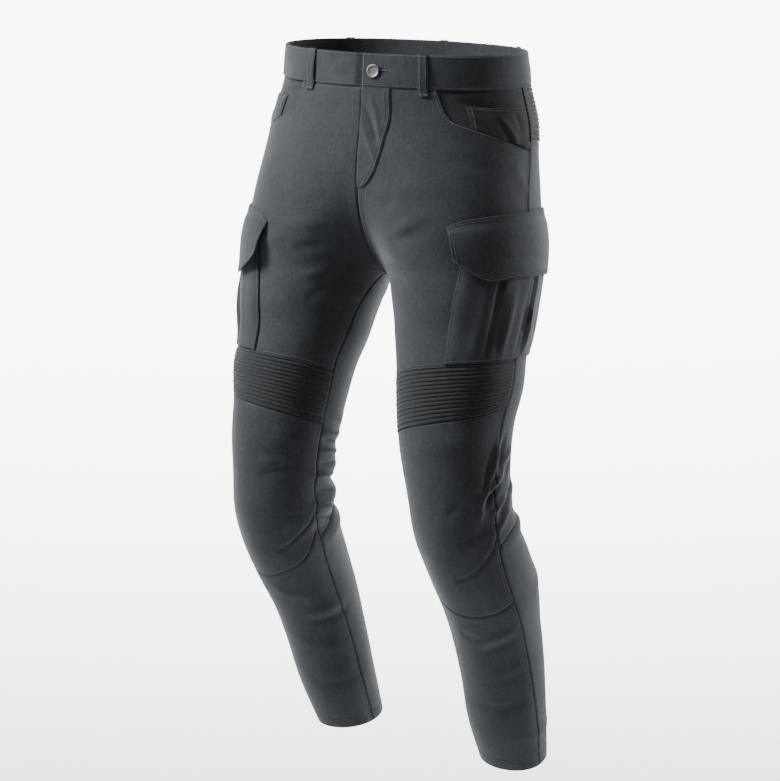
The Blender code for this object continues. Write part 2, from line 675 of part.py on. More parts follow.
def main():
    clear_scene()
    for side, end in ((1, "_left"), (-1, "_right")):
        front_panel(side, "front" + end, CHARCOAL)
        rib_panel(side, "rib_panel" + end, DARK)
        knee_panel(side, "knee" + end, CHARCOAL)
        shin_panel(side, "shin" + end, CHARCOAL)
        back_panel(side, "back" + end, CHARCOAL)
        calf_panel(side, "calf" + end, CHARCOAL)
    ribbed_yoke("back_yoke", DARK)
    for side, end in ((1, "_left"), (-1, "_right")):
        pocket_facing(side, "pocket_facing" + end, CHARCOAL)
        coin_pocket(side, "coin_pocket" + end, CHARCOAL)
        cargo_pocket(side, "cargo_pocket" + end, CHARCOAL)
        cargo_flap(side, "cargo_flap" + end, CHARCOAL)
    fly("fly", CHARCOAL)
    waistband_left("waistband_left", CHARCOAL)
    waistband_right("waistband_right", CHARCOAL)
    for name, side, angle, profile in LOOP_PLACES:
        belt_loop(name, side, angle, profile, CHARCOAL)
    button("button", GREY_METAL)


main()
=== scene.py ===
"""Motorcycle trousers: cloth, ribs, sewing, button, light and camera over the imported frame.

Form tables are in millimetres and degrees, as in the part. A ring angle is 0 at
the outer side of the leg, negative toward the front, positive toward the back.
"""

import math

import bpy
import numpy as np
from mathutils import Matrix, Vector


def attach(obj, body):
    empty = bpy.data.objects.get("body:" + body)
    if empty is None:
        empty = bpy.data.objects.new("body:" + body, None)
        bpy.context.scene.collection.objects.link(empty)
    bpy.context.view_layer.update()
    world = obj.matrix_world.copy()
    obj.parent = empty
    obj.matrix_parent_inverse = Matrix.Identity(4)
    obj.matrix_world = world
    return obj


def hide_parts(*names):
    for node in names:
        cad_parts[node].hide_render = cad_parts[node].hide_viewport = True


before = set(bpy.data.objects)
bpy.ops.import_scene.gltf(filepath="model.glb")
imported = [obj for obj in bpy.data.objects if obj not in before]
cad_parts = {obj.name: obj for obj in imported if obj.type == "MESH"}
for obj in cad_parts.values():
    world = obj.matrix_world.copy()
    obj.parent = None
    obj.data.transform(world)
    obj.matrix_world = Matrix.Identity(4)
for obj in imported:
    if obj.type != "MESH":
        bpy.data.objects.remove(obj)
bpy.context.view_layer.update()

# Sizes that more than one piece uses, in mm.
MM = 0.001
CLOTH = 1.6
SEAM_GAP = 0.3
ON_TOP = 0.9
CROTCH = 278.0
HEM = 968.0
BAND_TOP = -21.0
BAND_FOOT = 21.0
WAIST_TILT = 4.4
RIGHT_LEG_SHIFT = (-8.0, -10.0, 23.0)
RIGHT_LEG_REACH = 700.0
CORNER_FILL = 0.02

# Grid steps, and how cloth goes into a seam.
GRID = 3.4
EDGE_STEPS = (0.0, 0.8, 2.0, 3.6, 5.4, 7.4)
SHARP_ANGLE = 62.0
SEAM_DIP = 1.3
PUCKER = 0.28
SEAM_DIP_WIDTH = 1.5
CREASE_FADE = 0.42
DEGREE_ON_LEG = 1.45

# The form: half widths and depths of the ring at each drop, as in the part.
RING_COLUMNS = (
    "drop", "across", "along", "pitch", "roll", "outer", "inner", "front", "back",
    "merge", "outseam", "inseam",
)
RINGS = (
    (-30, 0, 0, 6.5, 0, 166, 163, 120, 119, 0, -4, 0),
    (21, 0, 0, 6.5, 0, 171, 169, 124, 126, 0, -3, 0),
    (70, 21, -5, 4.0, 0, 162, 160, 123, 136, 6, -2, 0),
    (120, 42, -20, 1.5, 0, 147, 140, 118, 143, 12, 0, 0),
    (170, 67, -34, -1.0, 0, 130, 112, 112, 145, 20, -4, 0),
    (225, 88, -43, -4.0, 0, 116, 87, 108, 137, 25, -5, 0),
    (278, 102, -50, -7.0, 1, 102, 77, 99, 119, 25, -6, 0),
    (320, 107, -60, -9.5, 3, 95, 79, 96, 107, 14, -7, 10),
    (360, 111, -69, -12.0, 4, 89, 79, 90, 93, 0, -9, 16),
    (405, 119, -85, -12.5, 4, 84, 77, 86, 84, 0, -10, 18),
    (450, 121, -97, -12.0, 4, 76, 73, 81, 76, 0, -13, 18),
    (500, 125, -105, -8.0, 3, 71, 70, 76, 70, 0, -17, 18),
    (550, 130, -102, 0.0, 1, 66, 66, 73, 66, 0, -22, 19),
    (600, 135, -90, 11.0, -1, 66, 66, 74, 66, 0, -28, 20),
    (650, 140, -63, 20.0, -2, 65, 65, 70, 71, 0, -32, 20),
    (700, 142, -32, 24.0, -3, 63, 63, 64, 73, 0, -32, 20),
    (760, 138, 2, 25.0, -4, 59, 59, 58, 68, 0, -27, 20),
    (820, 135, 30, 23.0, -4, 57, 57, 55, 62, 0, -24, 18),
    (880, 131, 54, 18.0, -3, 55, 55, 54, 57, 0, -18, 17),
    (970, 125, 97, 8.0, 4, 47, 47, 48, 49, 0, -16, 16),
)

# Broad folds behind the knees.
FOLD_COLUMNS = ("side", "angle", "drop", "angle_width", "drop_width", "slope", "height")
FOLDS = (
    (1, 62, 545, 60, 11, 0.10, 3.5),
    (1, 95, 572, 70, 9, -0.05, -4.0),
    (1, 60, 594, 55, 10, -0.20, 4.5),
    (1, 120, 620, 60, 11, 0.10, -3.0),
    (-1, 150, 545, 60, 10, 0.10, 3.5),
    (-1, 120, 568, 70, 9, -0.10, -4.0),
    (-1, 150, 590, 50, 11, 0.15, 4.0),
    (-1, 160, 618, 45, 9, 0.20, -3.5),
    (-1, 150, 640, 50, 11, 0.15, 3.0),
)

# Creases: a soft ridge, or with a height below 0 a trough, between two places.
CREASE_COLUMNS = ("side", "angle", "drop", "to_angle", "to_drop", "width", "height")
CREASES = (
    # wearer's left, pocket facing, hip and crotch
    (1, -52, 27, -10, 31, 4, 1.5), (1, -48, 37, -14, 43, 3.5, -1.4), (1, -44, 50, -30, 62, 4, 1.2),
    (1, -26, 58, -7, 101, 4, 1.7), (1, -30, 60, -12, 103, 3, -1.5), (1, -18, 54, -6, 84, 3.5, -1.2),
    (1, -112, 228, -62, 205, 9, 2.2), (1, -118, 242, -70, 228, 8, -2.0),
    (1, -128, 262, -84, 262, 9, 2.4), (1, -140, 285, -100, 300, 8, -2.0),
    (1, -100, 180, -50, 150, 14, 1.5), (1, -20, 125, 10, 165, 8, 1.2),
    (1, -108, 190, -84, 172, 6, -1.3), (1, -60, 118, -20, 128, 9, -1.0),
    # waistband and fly
    (1, -88, 6, -68, -7, 4, -0.8), (1, -86, 11, -64, 10, 4, 0.7), (1, -80, -15, -58, -12, 4, 0.6),
    (-1, -86, -10, -64, 6, 4, 0.8), (-1, -86, 8, -66, 13, 4, -0.7), (1, -50, 8, -30, 14, 4, -0.6),
    (1, -91, 34, -94, 112, 3.2, -2.2), (1, -87, 30, -90, 100, 3, 1.5), (1, -95, 52, -98, 138, 3, 1.6),
    # thigh pockets
    (1, -30, 290, -37, 376, 5, -2.4), (1, -23, 288, -29, 384, 4, 2.0),
    (1, -8, 288, -11, 372, 4, -2.4), (1, 1, 284, 0, 362, 4, 2.0), (1, -46, 300, -53, 384, 6, 1.6),
    (1, 14, 282, 16, 350, 5, -1.5), (-1, -40, 296, -44, 380, 5, -2.0),
    (-1, -32, 290, -34, 372, 4, 1.8), (-1, -10, 288, -12, 366, 4, -1.8),
    # wearer's left, knee
    (1, -80, 561, -64, 557, 4, -1.6), (1, -64, 557, -40, 547, 5, 1.1),
    (1, -40, 547, -28, 540, 4, -1.0), (1, -15, 474, -27, 524, 5, 4.2),
    (1, -27, 524, -48, 580, 5, 3.4), (1, -4, 466, -13, 520, 3.5, -3.8),
    (1, -23, 492, -38, 552, 3.5, -3.4), (1, -10, 528, -36, 562, 3.5, -3.6),
    (1, -2, 546, -24, 570, 3.2, 3.4), (1, -6, 512, -26, 540, 3.5, 3.6),
    (1, 10, 546, -16, 576, 3.5, -3.6), (1, 6, 566, -20, 588, 3.2, 3.2), (1, 14, 480, -4, 500, 4, 2.6),
    (1, 16, 498, -2, 520, 3.5, -3.0), (1, 20, 530, 0, 548, 3.5, -2.8),
    (1, -30, 480, -120, 496, 10, 1.3), (1, -60, 520, -130, 530, 9, -1.2),
    (1, -50, 600, -120, 610, 8, 1.0), (1, -34, 585, -60, 590, 5, -1.3),
    # wearer's left, shin and calf
    (1, -96, 738, -52, 728, 7, 2.0), (1, -90, 750, -56, 744, 6, -1.7),
    (1, -112, 722, -84, 728, 6, -1.2), (1, -80, 795, -48, 788, 8, 1.4),
    (1, -110, 842, -60, 846, 9, -1.2), (1, 0, 700, 60, 690, 10, 1.6), (1, 20, 760, 90, 770, 10, -1.5),
    (1, 30, 830, 100, 822, 9, 1.4), (1, -60, 905, 10, 912, 8, 1.2),
    # wearer's right, pocket facing, hip and crotch
    (-1, -54, 30, -12, 34, 4, 1.5), (-1, -48, 42, -20, 48, 3.5, -1.3), (-1, -28, 66, -10, 98, 4, 1.5),
    (-1, -110, 225, -70, 205, 9, 2.0), (-1, -122, 250, -84, 244, 8, -2.0),
    (-1, -86, 238, -50, 236, 9, 1.2), (-1, -136, 276, -96, 286, 9, 2.3),
    (-1, -98, 176, -56, 150, 13, 1.5), (-1, -140, 300, -110, 322, 8, -1.6),
    # wearer's right, knee
    (-1, -95, 545, -128, 538, 5, -1.7), (-1, -90, 536, -130, 528, 6, 1.2),
    (-1, -163, 494, -204, 500, 3.5, 3.4), (-1, -163, 506, -206, 511, 3, -3.8),
    (-1, -162, 522, -204, 526, 3.5, 3.8), (-1, -162, 538, -206, 541, 3, -4.2),
    (-1, -158, 553, -202, 562, 4.5, 3.8), (-1, -158, 572, -200, 588, 3.5, -4.0),
    (-1, -154, 586, -192, 608, 3.5, 3.2), (-1, -150, 600, -188, 626, 3, -3.4),
    (-1, -158, 474, -196, 480, 4, -2.6), (-1, -60, 500, -120, 512, 10, 1.3),
    (-1, -50, 590, -110, 600, 9, -1.0), (-1, -40, 640, -100, 650, 8, 1.0),
    (-1, -120, 566, -154, 590, 5, 1.4), (-1, -116, 590, -150, 606, 5, -1.3),
    # wearer's right, shin and calf
    (-1, -104, 748, -152, 744, 7, 2.1), (-1, -110, 762, -156, 756, 5, -1.7),
    (-1, -72, 706, -120, 712, 8, 1.3), (-1, -70, 800, -130, 806, 9, 1.4),
    (-1, -80, 870, -140, 864, 9, -1.2), (-1, 10, 720, 80, 708, 10, 1.6),
    (-1, 40, 790, 110, 800, 10, -1.5),
    # back of the seat, thighs and knees, both sides
    (1, 100, 200, 60, 250, 12, 2.0), (1, 128, 262, 70, 290, 9, -2.2), (1, 150, 292, 80, 318, 9, 2.4),
    (1, 60, 380, 130, 400, 12, -1.6), (1, 50, 470, 150, 486, 8, 2.2), (1, 60, 510, 170, 520, 6, -2.6),
    (1, 40, 532, 120, 528, 5, 2.4), (1, 90, 556, 168, 548, 5, -2.6), (1, 30, 578, 110, 586, 5, 2.2),
    (1, 80, 612, 150, 600, 5, -2.2), (-1, 104, 205, 64, 244, 12, 1.9),
    (-1, 130, 266, 66, 286, 9, -2.2), (-1, 152, 296, 84, 324, 9, 2.3),
    (-1, 56, 372, 126, 396, 12, -1.5), (-1, 54, 462, 148, 482, 8, 2.1),
    (-1, 62, 505, 152, 518, 6, -2.5), (-1, 36, 528, 118, 534, 5, 2.3),
    (-1, 88, 552, 150, 560, 5, -2.4), (-1, 34, 584, 112, 576, 5, 2.2),
    (-1, 84, 606, 146, 616, 5, -2.1),
)

# Seams and edges of the panels: shares across a piece with drops, or drops with angles.
RIB_TOP = ((0.0, 421), (0.5, 402), (0.8, 388), (1.0, 376))
RIB_FOOT = ((0.0, 487), (0.5, 466), (0.8, 449), (1.0, 432))
KNEE_FOOT = {
    1: ((0.0, 640), (0.18, 672), (0.4, 688), (0.65, 691), (0.85, 689), (1.0, 684)),
    -1: ((0.0, 622), (0.18, 654), (0.4, 669), (0.65, 683), (0.85, 687), (1.0, 686)),
}
BACK_FOOT = ((0.0, 636), (0.5, 598), (0.85, 594), (1.0, 607))
YOKE_FOOT = ((0.0, 104), (1.0, 95))
POCKET_OPENING = (
    (21, -56), (40, -55.5), (58, -54.5), (66, -52.5), (72, -47.5), (79, -39.5),
    (89, -28), (98, -16), (107, -3),
)
FRONT_ROWS = (
    (21, 21), (46, 40), (72, 58), (96, 66), (116, 72), (134, 79), (151, 89), (168, 98),
    (184, 107), (204, 132), (222, 158), (238, 184), (252, 210), (264, 234), (273, 254),
    (278, 270), (292, 290), (318, 312), (348, 334), (384, 354), (421, 376),
)
BACK_ROWS = (
    (104, 95), (132, 107), (160, 132), (186, 158), (208, 184), (230, 210), (250, 234),
    (266, 254), (275, 263), (278, 270), (292, 290), (318, 312), (348, 334), (384, 354),
    (421, 376), (487, 432), (562, 519), (636, 607),
)
RIB_COUNT = 13
RIB_HEIGHT = 1.4
YOKE_RIB_COUNT = 14
YOKE_RIB_HEIGHT = 1.7


def hermite(table, x):
    """Smooth curve through the rows of a table whose first column is x."""
    table = np.asarray(table, float)
    levels = table[:, 0]
    steps = np.diff(levels)[:, None]
    chords = np.diff(table, axis=0) / steps
    slopes = np.empty_like(table)
    slopes[1:-1] = (chords[:-1] * steps[1:] + chords[1:] * steps[:-1]) / (steps[1:] + steps[:-1])
    slopes[0], slopes[-1] = chords[0], chords[-1]
    x = np.clip(np.asarray(x, float), levels[0], levels[-1])
    k = np.clip(np.searchsorted(levels, x) - 1, 0, len(levels) - 2)
    step = levels[k + 1] - levels[k]
    t = ((x - levels[k]) / step)[..., None]
    t2, t3 = t * t, t * t * t
    step = step[..., None]
    return (
        (2 * t3 - 3 * t2 + 1) * table[k] + (t3 - 2 * t2 + t) * slopes[k] * step
        + (3 * t2 - 2 * t3) * table[k + 1] + (t3 - t2) * slopes[k + 1] * step
    )


def curve(rows, x):
    return hermite(rows, x)[..., 1]


def smooth(x):
    x = np.clip(x, 0.0, 1.0)
    return x * x * (3 - 2 * x)


def bell(distance, width):
    """1 at a distance of 0, falling away on both sides."""
    return np.exp(-((distance / width) ** 2))


def ring_at(drop):
    """Ring columns at a drop, with the angle at which the half ring ends."""
    values = hermite(RINGS, drop)
    ring = {name: values[..., i] for i, name in enumerate(RING_COLUMNS)}
    ring["drop"] = np.asarray(drop, float)
    for name in ("across", "merge"):
        ring[name] = np.maximum(ring[name], 0.0)
    reach = np.clip((ring["across"] - ring["merge"]) / ring["inner"], 0.0, 1.0)
    reach = np.where(ring["drop"] >= CROTCH, 1.0, reach)
    low, high = np.zeros_like(reach), np.full_like(reach, math.pi / 2)
    for _ in range(30):
        middle = (low + high) / 2
        found = np.cos(middle) * (1 + CORNER_FILL * np.sin(2 * middle) ** 2)
        high = np.where(found < reach, middle, high)
        low = np.where(found < reach, low, middle)
    ring["end"] = math.pi - np.where(reach >= 1.0, 0.0, (low + high) / 2)
    return ring


def widen(ring):
    return {name: value[..., None] for name, value in ring.items()}


def form_point(side, share, ring):
    """Point of the outer face. Past a share of 1 it crosses the centre plane."""
    crosses = (np.abs(share) > 1) & (ring["end"] < math.pi)
    side = np.where(crosses, -side, side)
    share = np.where(crosses, np.sign(share) * (2 - np.abs(share)), share)
    angle = share * ring["end"]
    cos, sin = np.cos(angle), np.sin(angle)
    fill = 1 + CORNER_FILL * np.sin(2 * angle) ** 2
    wide = np.where(cos > 0, ring["outer"], ring["inner"]) * cos * fill
    deep = np.where(sin > 0, ring["back"], ring["front"]) * sin * fill
    roll, pitch = np.radians(ring["roll"]), np.radians(ring["pitch"])
    reach = ring["across"] + wide * np.cos(roll)
    x = side * np.sqrt(np.maximum(reach ** 2 - ring["merge"] ** 2, 0.0)) * (reach > 0)
    y = ring["along"] + deep * np.cos(pitch)
    z = -ring["drop"] + deep * np.sin(pitch) - wide * np.sin(roll)
    up = smooth((CROTCH - ring["drop"]) / CROTCH)
    z = z - x * math.tan(math.radians(WAIST_TILT)) * up
    down = np.clip((ring["drop"] - CROTCH) / RIGHT_LEG_REACH, 0.0, 1.0) * (side < 0)
    x = x + RIGHT_LEG_SHIFT[0] * down ** 2
    y = y + RIGHT_LEG_SHIFT[1] * down ** 2
    z = z + RIGHT_LEG_SHIFT[2] * down
    return np.stack([x, y, z], -1)


def form_frame(side, share, drop):
    """Point, unit normal and ring of the form."""
    ring = ring_at(drop)
    turn, fall = 0.004, 0.8
    around = form_point(side, share + turn, ring) - form_point(side, share - turn, ring)
    below, above = ring_at(drop + fall), ring_at(drop - fall)
    along = form_point(side, share, below) - form_point(side, share, above)
    normal = np.cross(around, along) * -np.asarray(side, float)[..., None]
    normal = normal / np.maximum(np.linalg.norm(normal, axis=-1, keepdims=True), 1e-9)
    return form_point(side, share, ring), normal, ring


def fold_height(side, degrees, drop):
    total = np.zeros(drop.shape)
    for row in FOLDS:
        fold = dict(zip(FOLD_COLUMNS, row))
        turn = (degrees - fold["angle"] + 180) % 360 - 180
        along = drop - fold["drop"] - fold["slope"] * turn
        shape = np.exp(-((turn / fold["angle_width"]) ** 2) - (along / fold["drop_width"]) ** 2)
        total += np.where(side == fold["side"], fold["height"] * shape, 0.0)
    return total


def crease_height(side, degrees, drop, ring):
    """Soft ridges and troughs, strongest in their middle and fading at both ends."""
    total = np.zeros(drop.shape)
    for row in CREASES:
        crease = dict(zip(CREASE_COLUMNS, row))
        scale = math.radians(1) * (ring["outer"] + ring["front"]) / 2
        middle = (crease["angle"] + crease["to_angle"]) / 2
        turn = ((degrees - middle + 180) % 360 - 180 + middle - crease["angle"]) * scale
        wide = (crease["to_angle"] - crease["angle"]) * DEGREE_ON_LEG
        run = np.array([wide, crease["to_drop"] - crease["drop"]])
        length = np.hypot(*run)
        unit = run / length
        fall = drop - crease["drop"]
        along = (turn * unit[0] + fall * unit[1]) / length
        bend = crease["width"] * 0.5 * np.sin(3 * along + crease["drop"])
        across = turn * unit[1] - fall * unit[0] + bend
        fade = np.exp(-((along - 0.5) / CREASE_FADE) ** 4)
        shape = bell(across, crease["width"]) * fade
        total += np.where(side == crease["side"], crease["height"] * shape, 0.0)
    return total


def relief(side, share, ring):
    """Folds and creases, which the pieces that lie on a panel share with it."""
    degrees = np.degrees(share * ring["end"])
    return fold_height(side, degrees, ring["drop"]) + crease_height(side, degrees, ring["drop"], ring)


def outseam(drop):
    return np.radians(hermite(RINGS, drop)[..., RING_COLUMNS.index("outseam")])


def inner_seam(sign):
    def angle(drop):
        turn = np.radians(hermite(RINGS, drop)[..., RING_COLUMNS.index("inseam")])
        return sign * ring_at(drop)["end"] + np.where(drop > CROTCH, turn, 0.0)
    return angle


FRONT_INNER = inner_seam(-1)
BACK_INNER = inner_seam(1)


def spaced(total, gap, count):
    """Lengths across a piece: close together at both edges and even between them."""
    edge = np.array(EDGE_STEPS)
    total = total[..., None]
    clear = np.minimum(1.0, (total - 2 * gap) / (2.6 * edge[-1]))
    even = np.linspace(0, 1, count)[1:-1]
    inner = gap + edge[-1] * clear
    middle = inner + (total - 2 * inner) * even
    return np.concatenate([gap + edge * clear, middle, total - gap - edge[::-1] * clear], -1)


def shares_between(side, first, last, drop, lengths_of):
    """Ring shares at lengths from the first angle. Returns shares, and the lengths from both edges."""
    steps = (1 - np.cos(np.linspace(0, math.pi, 49))) / 2
    ring = ring_at(drop)
    angles = first[..., None] + (last - first)[..., None] * steps
    points = form_point(side, angles / ring["end"][..., None], widen(ring))
    lengths = np.linalg.norm(np.diff(points, axis=-2), axis=-1)
    run = np.concatenate([np.zeros_like(lengths[..., :1]), np.cumsum(lengths, axis=-1)], axis=-1)
    total = run[..., -1]
    wanted = lengths_of(total)
    flat_run, flat_angles = run.reshape(-1, len(steps)), angles.reshape(-1, len(steps))
    found = [np.interp(w, r, a) for w, r, a in zip(wanted.reshape(-1), flat_run, flat_angles)]
    share = np.array(found).reshape(drop.shape) / ring["end"]
    return share, wanted, total


def grid_down(top, foot, rows, columns, step, edge_steps):
    """Drops of a panel's grid, and the lengths from its top and foot.

    Rows holds drops along the first and last edge. More rows are set in at each end.
    """
    rows = np.array(rows, float)
    fine = [rows[0]]
    for a, b in zip(rows[:-1], rows[1:]):
        count = max(1, int(round(max(b - a) / step)))
        fine += [a + (b - a) * k / count for k in range(1, count + 1)]
    part = (np.array(fine) - rows[0]) / (rows[-1] - rows[0])
    height = float(np.mean(foot - top))
    edge = np.array(edge_steps) / height
    room = edge[-1] + 1.3 / height * (len(edge) > 1)
    keep = [p for p in part if room < p.mean() < 1 - room]
    first, last = [[e, e] for e in edge], [[1 - e, 1 - e] for e in edge[::-1]]
    part = np.array(first + [list(p) for p in keep] + last)
    down = part[:, :1] * (1 - columns) + part[:, 1:] * columns
    start, end = top + SEAM_GAP / 2, foot - SEAM_GAP / 2
    return start + (end - start) * down, down * (end - start), (1 - down) * (end - start)


def edge_dip(*distances):
    """Cloth goes down into a seam at its edges."""
    total = 0.0
    for distance in distances:
        total = total + bell(distance, SEAM_DIP_WIDTH)
    return -SEAM_DIP * np.minimum(total, 1.0)


def sheet_faces(rows, columns, kept):
    """Faces of the outside, of the inside, and of the rim between them."""
    grid = np.arange(rows * columns).reshape(rows, columns)
    cells = np.argwhere(kept)
    i, j = cells[:, 0], cells[:, 1]
    top = np.stack([grid[i, j], grid[i, j + 1], grid[i + 1, j + 1], grid[i + 1, j]], -1)
    count = rows * columns
    sides = np.concatenate([top[:, [k, (k + 1) % 4]] for k in range(4)])
    keys = sides[:, 0] * count + sides[:, 1]
    back = sides[:, 1] * count + sides[:, 0]
    rim = sides[~np.isin(keys, back)]
    walls = np.stack([rim[:, 1], rim[:, 0], rim[:, 0] + count, rim[:, 1] + count], -1)
    return top, top[:, ::-1] + count, walls


def mesh_object(name, points, faces, uvs=None):
    """Object in metres from points in mm."""
    mesh = bpy.data.meshes.new(name)
    mesh.from_pydata((points * MM).tolist(), [], faces)
    mesh.polygons.foreach_set("use_smooth", [True] * len(mesh.polygons))
    if uvs is not None:
        layer = mesh.uv_layers.new(name="UVMap")
        loops = np.empty(len(mesh.loops), np.int32)
        mesh.loops.foreach_get("vertex_index", loops)
        layer.data.foreach_set("uv", (uvs[loops] * MM).reshape(-1))
    mesh.update()
    obj = bpy.data.objects.new(name, mesh)
    bpy.context.scene.collection.objects.link(obj)
    return obj


class Piece:
    """One cloth piece, made from a grid of ring shares and drops.

    It keeps its outer points and normals for the sewing on it.
    """

    def __init__(self, name, side, share, drop, raised, wall, material, uv=None, kept=None):
        side = np.broadcast_to(side, drop.shape)
        point, normal, ring = form_frame(side, share, drop)
        high = np.broadcast_to(raised, drop.shape) + relief(side, share, ring)
        self.normal = normal
        self.outer = point + normal * high[..., None]
        inner = self.outer - normal * np.broadcast_to(wall, drop.shape)[..., None]
        kept = np.ones((drop.shape[0] - 1, drop.shape[1] - 1), bool) if kept is None else kept
        face, back, walls = sheet_faces(*drop.shape, kept)
        points = np.concatenate([self.outer.reshape(-1, 3), inner.reshape(-1, 3)])
        spans = np.linalg.norm(np.diff(self.outer, axis=1), axis=-1)
        falls = np.linalg.norm(np.diff(self.outer, axis=0), axis=-1)
        if uv is None:
            uv = np.stack([np.pad(np.cumsum(spans, 1), ((0, 0), (1, 0))), drop], -1)
        corner = points[face[:, 0]]
        cross = np.cross(points[face[:, 1]] - corner, points[face[:, 3]] - corner)
        faces = np.concatenate([face, back, walls])
        if np.einsum("ij,ij->i", cross, normal.reshape(-1, 3)[face[:, 0]]).sum() < 0:
            faces = faces[:, ::-1]
        used, index = np.unique(faces, return_inverse=True)
        uvs = np.concatenate([uv.reshape(-1, 2)] * 2)[used]
        index = index.reshape(faces.shape).tolist()
        self.object = mesh_object(name + "_cloth", points[used], index, uvs)
        self.object.data.materials.append(material)
        self.object.data.set_sharp_from_angle(angle=math.radians(SHARP_ANGLE))
        self.width = float(spans.sum(1).max())
        self.height = float(falls.sum(0).max())
        self.area = float((spans[:-1] * falls[:, :-1]).sum())

    def line(self, edge, index):
        """Points and normals of a grid line, counted from an edge."""
        if edge == "top":
            return self.outer[index], self.normal[index]
        if edge == "foot":
            return self.outer[-1 - index], self.normal[-1 - index]
        if edge == "first":
            return self.outer[:, index], self.normal[:, index]
        return self.outer[:, -1 - index], self.normal[:, -1 - index]


def panel_grid(side, top, foot, rows, first, last, width,
               step=GRID, edge_rows=EDGE_STEPS, gap=SEAM_GAP / 2):
    """Shares, drops and the lengths from all four edges, of a panel between two seams."""
    count = int(width / step)
    edge = np.array(EDGE_STEPS) / width
    even = np.linspace(edge[-1], 1 - edge[-1], count)[1:-1]
    columns = np.concatenate([edge, even, 1 - edge[::-1]])
    tops, feet = curve(top, columns), curve(foot, columns)
    drop, from_top, from_foot = grid_down(tops, feet, rows, columns, step, edge_rows)
    place = np.broadcast_to(np.arange(len(columns))[:, None], drop.shape + (1,))

    def lengths_of(total):
        return np.take_along_axis(spaced(total, gap, count), place, -1)[..., 0]

    share, from_first, total = shares_between(side, first(drop), last(drop), drop, lengths_of)
    return {
        "columns": columns, "share": share, "drop": drop, "top": from_top, "foot": from_foot,
        "first": from_first, "last": total - from_first, "down": from_top / (from_top + from_foot),
    }


def panel(name, side, top, foot, rows, first, last, material,
          width=200.0, step=GRID, lift=None, wall=None):
    """A panel of the leg, set down into the seams round it."""
    grid = panel_grid(side, top, foot, rows, first, last, width, step)
    raised = edge_dip(grid["top"], grid["foot"], grid["first"], grid["last"]) + pucker(grid)
    if lift is not None:
        raised = raised + lift(grid)
    thick = CLOTH if wall is None else wall(grid["drop"])
    return Piece(name, side, grid["share"], grid["drop"], raised, thick, material)


# Tables of the smaller pieces.
FACING_DEPTH = -2.7
FACING_WALL = 1.3
FACING_FOOT = 113.0
FACING_OVERLAP = 4.5
COIN_TOP = ((0.0, 43.5), (1.0, 48.0))
COIN_FRONT = -44.5
COIN_REAR = -5.5
COIN_WALL = 1.1
FLY_EDGE = (
    (21, -76.5), (60, -81), (87, -86), (116, -92), (135, -97.5), (149, -103.5), (158, -108.5),
    (164, -112),
)
FLY_FOOT = 163.0
FLY_WALL = 1.1
FLAP_TOP = ((0.0, 215), (0.14, 203), (0.28, 196), (0.43, 191), (0.6, 188), (0.8, 185), (1.0, 183))
FLAP_FOOT = ((0.0, 259), (0.19, 285), (0.37, 277), (0.61, 271), (0.9, 265), (1.0, 262))
FLAP_EDGES = (-67.0, 41.0)
FLAP_LIFT = ((0.0, 1.1), (0.1, 1.8), (0.22, 4.3), (0.35, 5.7), (0.5, 7.0), (0.75, 8.2), (1.0, 8.9))
FLAP_CORNER_FLARE = {1: 3.5, -1: 7.0}
FLAP_WALL = 1.8
# Sunk lines round the flap: distance from its edge, half width and depth.
FLAP_QUILT = ((5.4, 1.6, -0.3), (2.0, 1.2, -0.25))
POCKET_BELOW_FLAP = 18.0
POCKET_FOOT = ((0.0, 396), (0.23, 388), (0.62, 371), (1.0, 359))
POCKET_FRONT = ((230, -61), (261, -63), (312, -69), (365, -74), (405, -78))
POCKET_REAR = 36.0
POCKET_SECTION = (
    (0.0, 0.0), (0.04, 0.5), (0.14, 0.72), (0.24, 0.98), (0.272, 0.85), (0.292, -0.1), (0.312, 0.9),
    (0.35, 1.05), (0.45, 0.85), (0.56, 1.0), (0.592, 0.9), (0.612, -0.1), (0.632, 0.95), (0.68, 1.1),
    (0.8, 0.95), (0.95, 0.5), (1.0, 0.0),
)
POCKET_FULLNESS = (
    (0.0, 0.08), (0.08, 0.35), (0.2, 0.8), (0.35, 1.0), (0.6, 1.0), (0.82, 0.8), (0.94, 0.4),
    (1.0, 0.0),
)
POCKET_BULGE = 4.4
POCKET_SAG = 0.3
BAND_LIFT = 0.8
BAND_WALL = 2.8
BAND_LENGTH = 466.0
BAND_UNDERLAP_END = -42.0
UNDERLAP_LIFT = -2.75
BUTTONHOLE_LENGTHS = (13.6, 18.4, 38.0)
BUTTONHOLE_ROWS = (-1.4, 0.4, 1.6, 3.4)
BUTTONHOLE_PATH = (
    (38.0, 1.0), (38.0, -0.4), (19.5, -0.6), (18.4, -2.4), (13.0, -2.4), (12.6, 1.0), (13.0, 4.4),
    (18.4, 4.4), (19.5, 2.6), (38.0, 2.4), (39.0, 1.0),
)
BUTTON_FROM_FRONT = 16.0
BUTTON_DROP = 1.0
BUTTON_PROFILE = (
    (0.0, 3.1), (3.0, 3.1), (5.4, 3.15), (6.2, 3.35), (6.9, 3.65), (7.6, 3.72), (8.3, 3.55),
    (8.8, 3.15), (9.0, 2.6), (9.0, 2.1), (8.8, 1.7), (8.3, 1.45), (1.9, 1.4), (1.8, -2.3), (0.0, -2.3),
)
LOOP_WIDTH = 12.0
LOOP_WALL = 1.4
LOOP_COLUMNS = (-6.0, -5.6, -4.6, -3.6, -2.4, 0.0, 2.4, 3.6, 4.6, 5.6, 6.0)
LOOP_TOP = -22
LOOP_LIFT = ((-22, 1.5), (-17, 1.6), (-8, 2.7), (4, 3.1))
LOOP_FRONT_LIFT = LOOP_LIFT + ((14, 2.6), (21.5, 1.5), (26, 0.8), (31, 0.7))
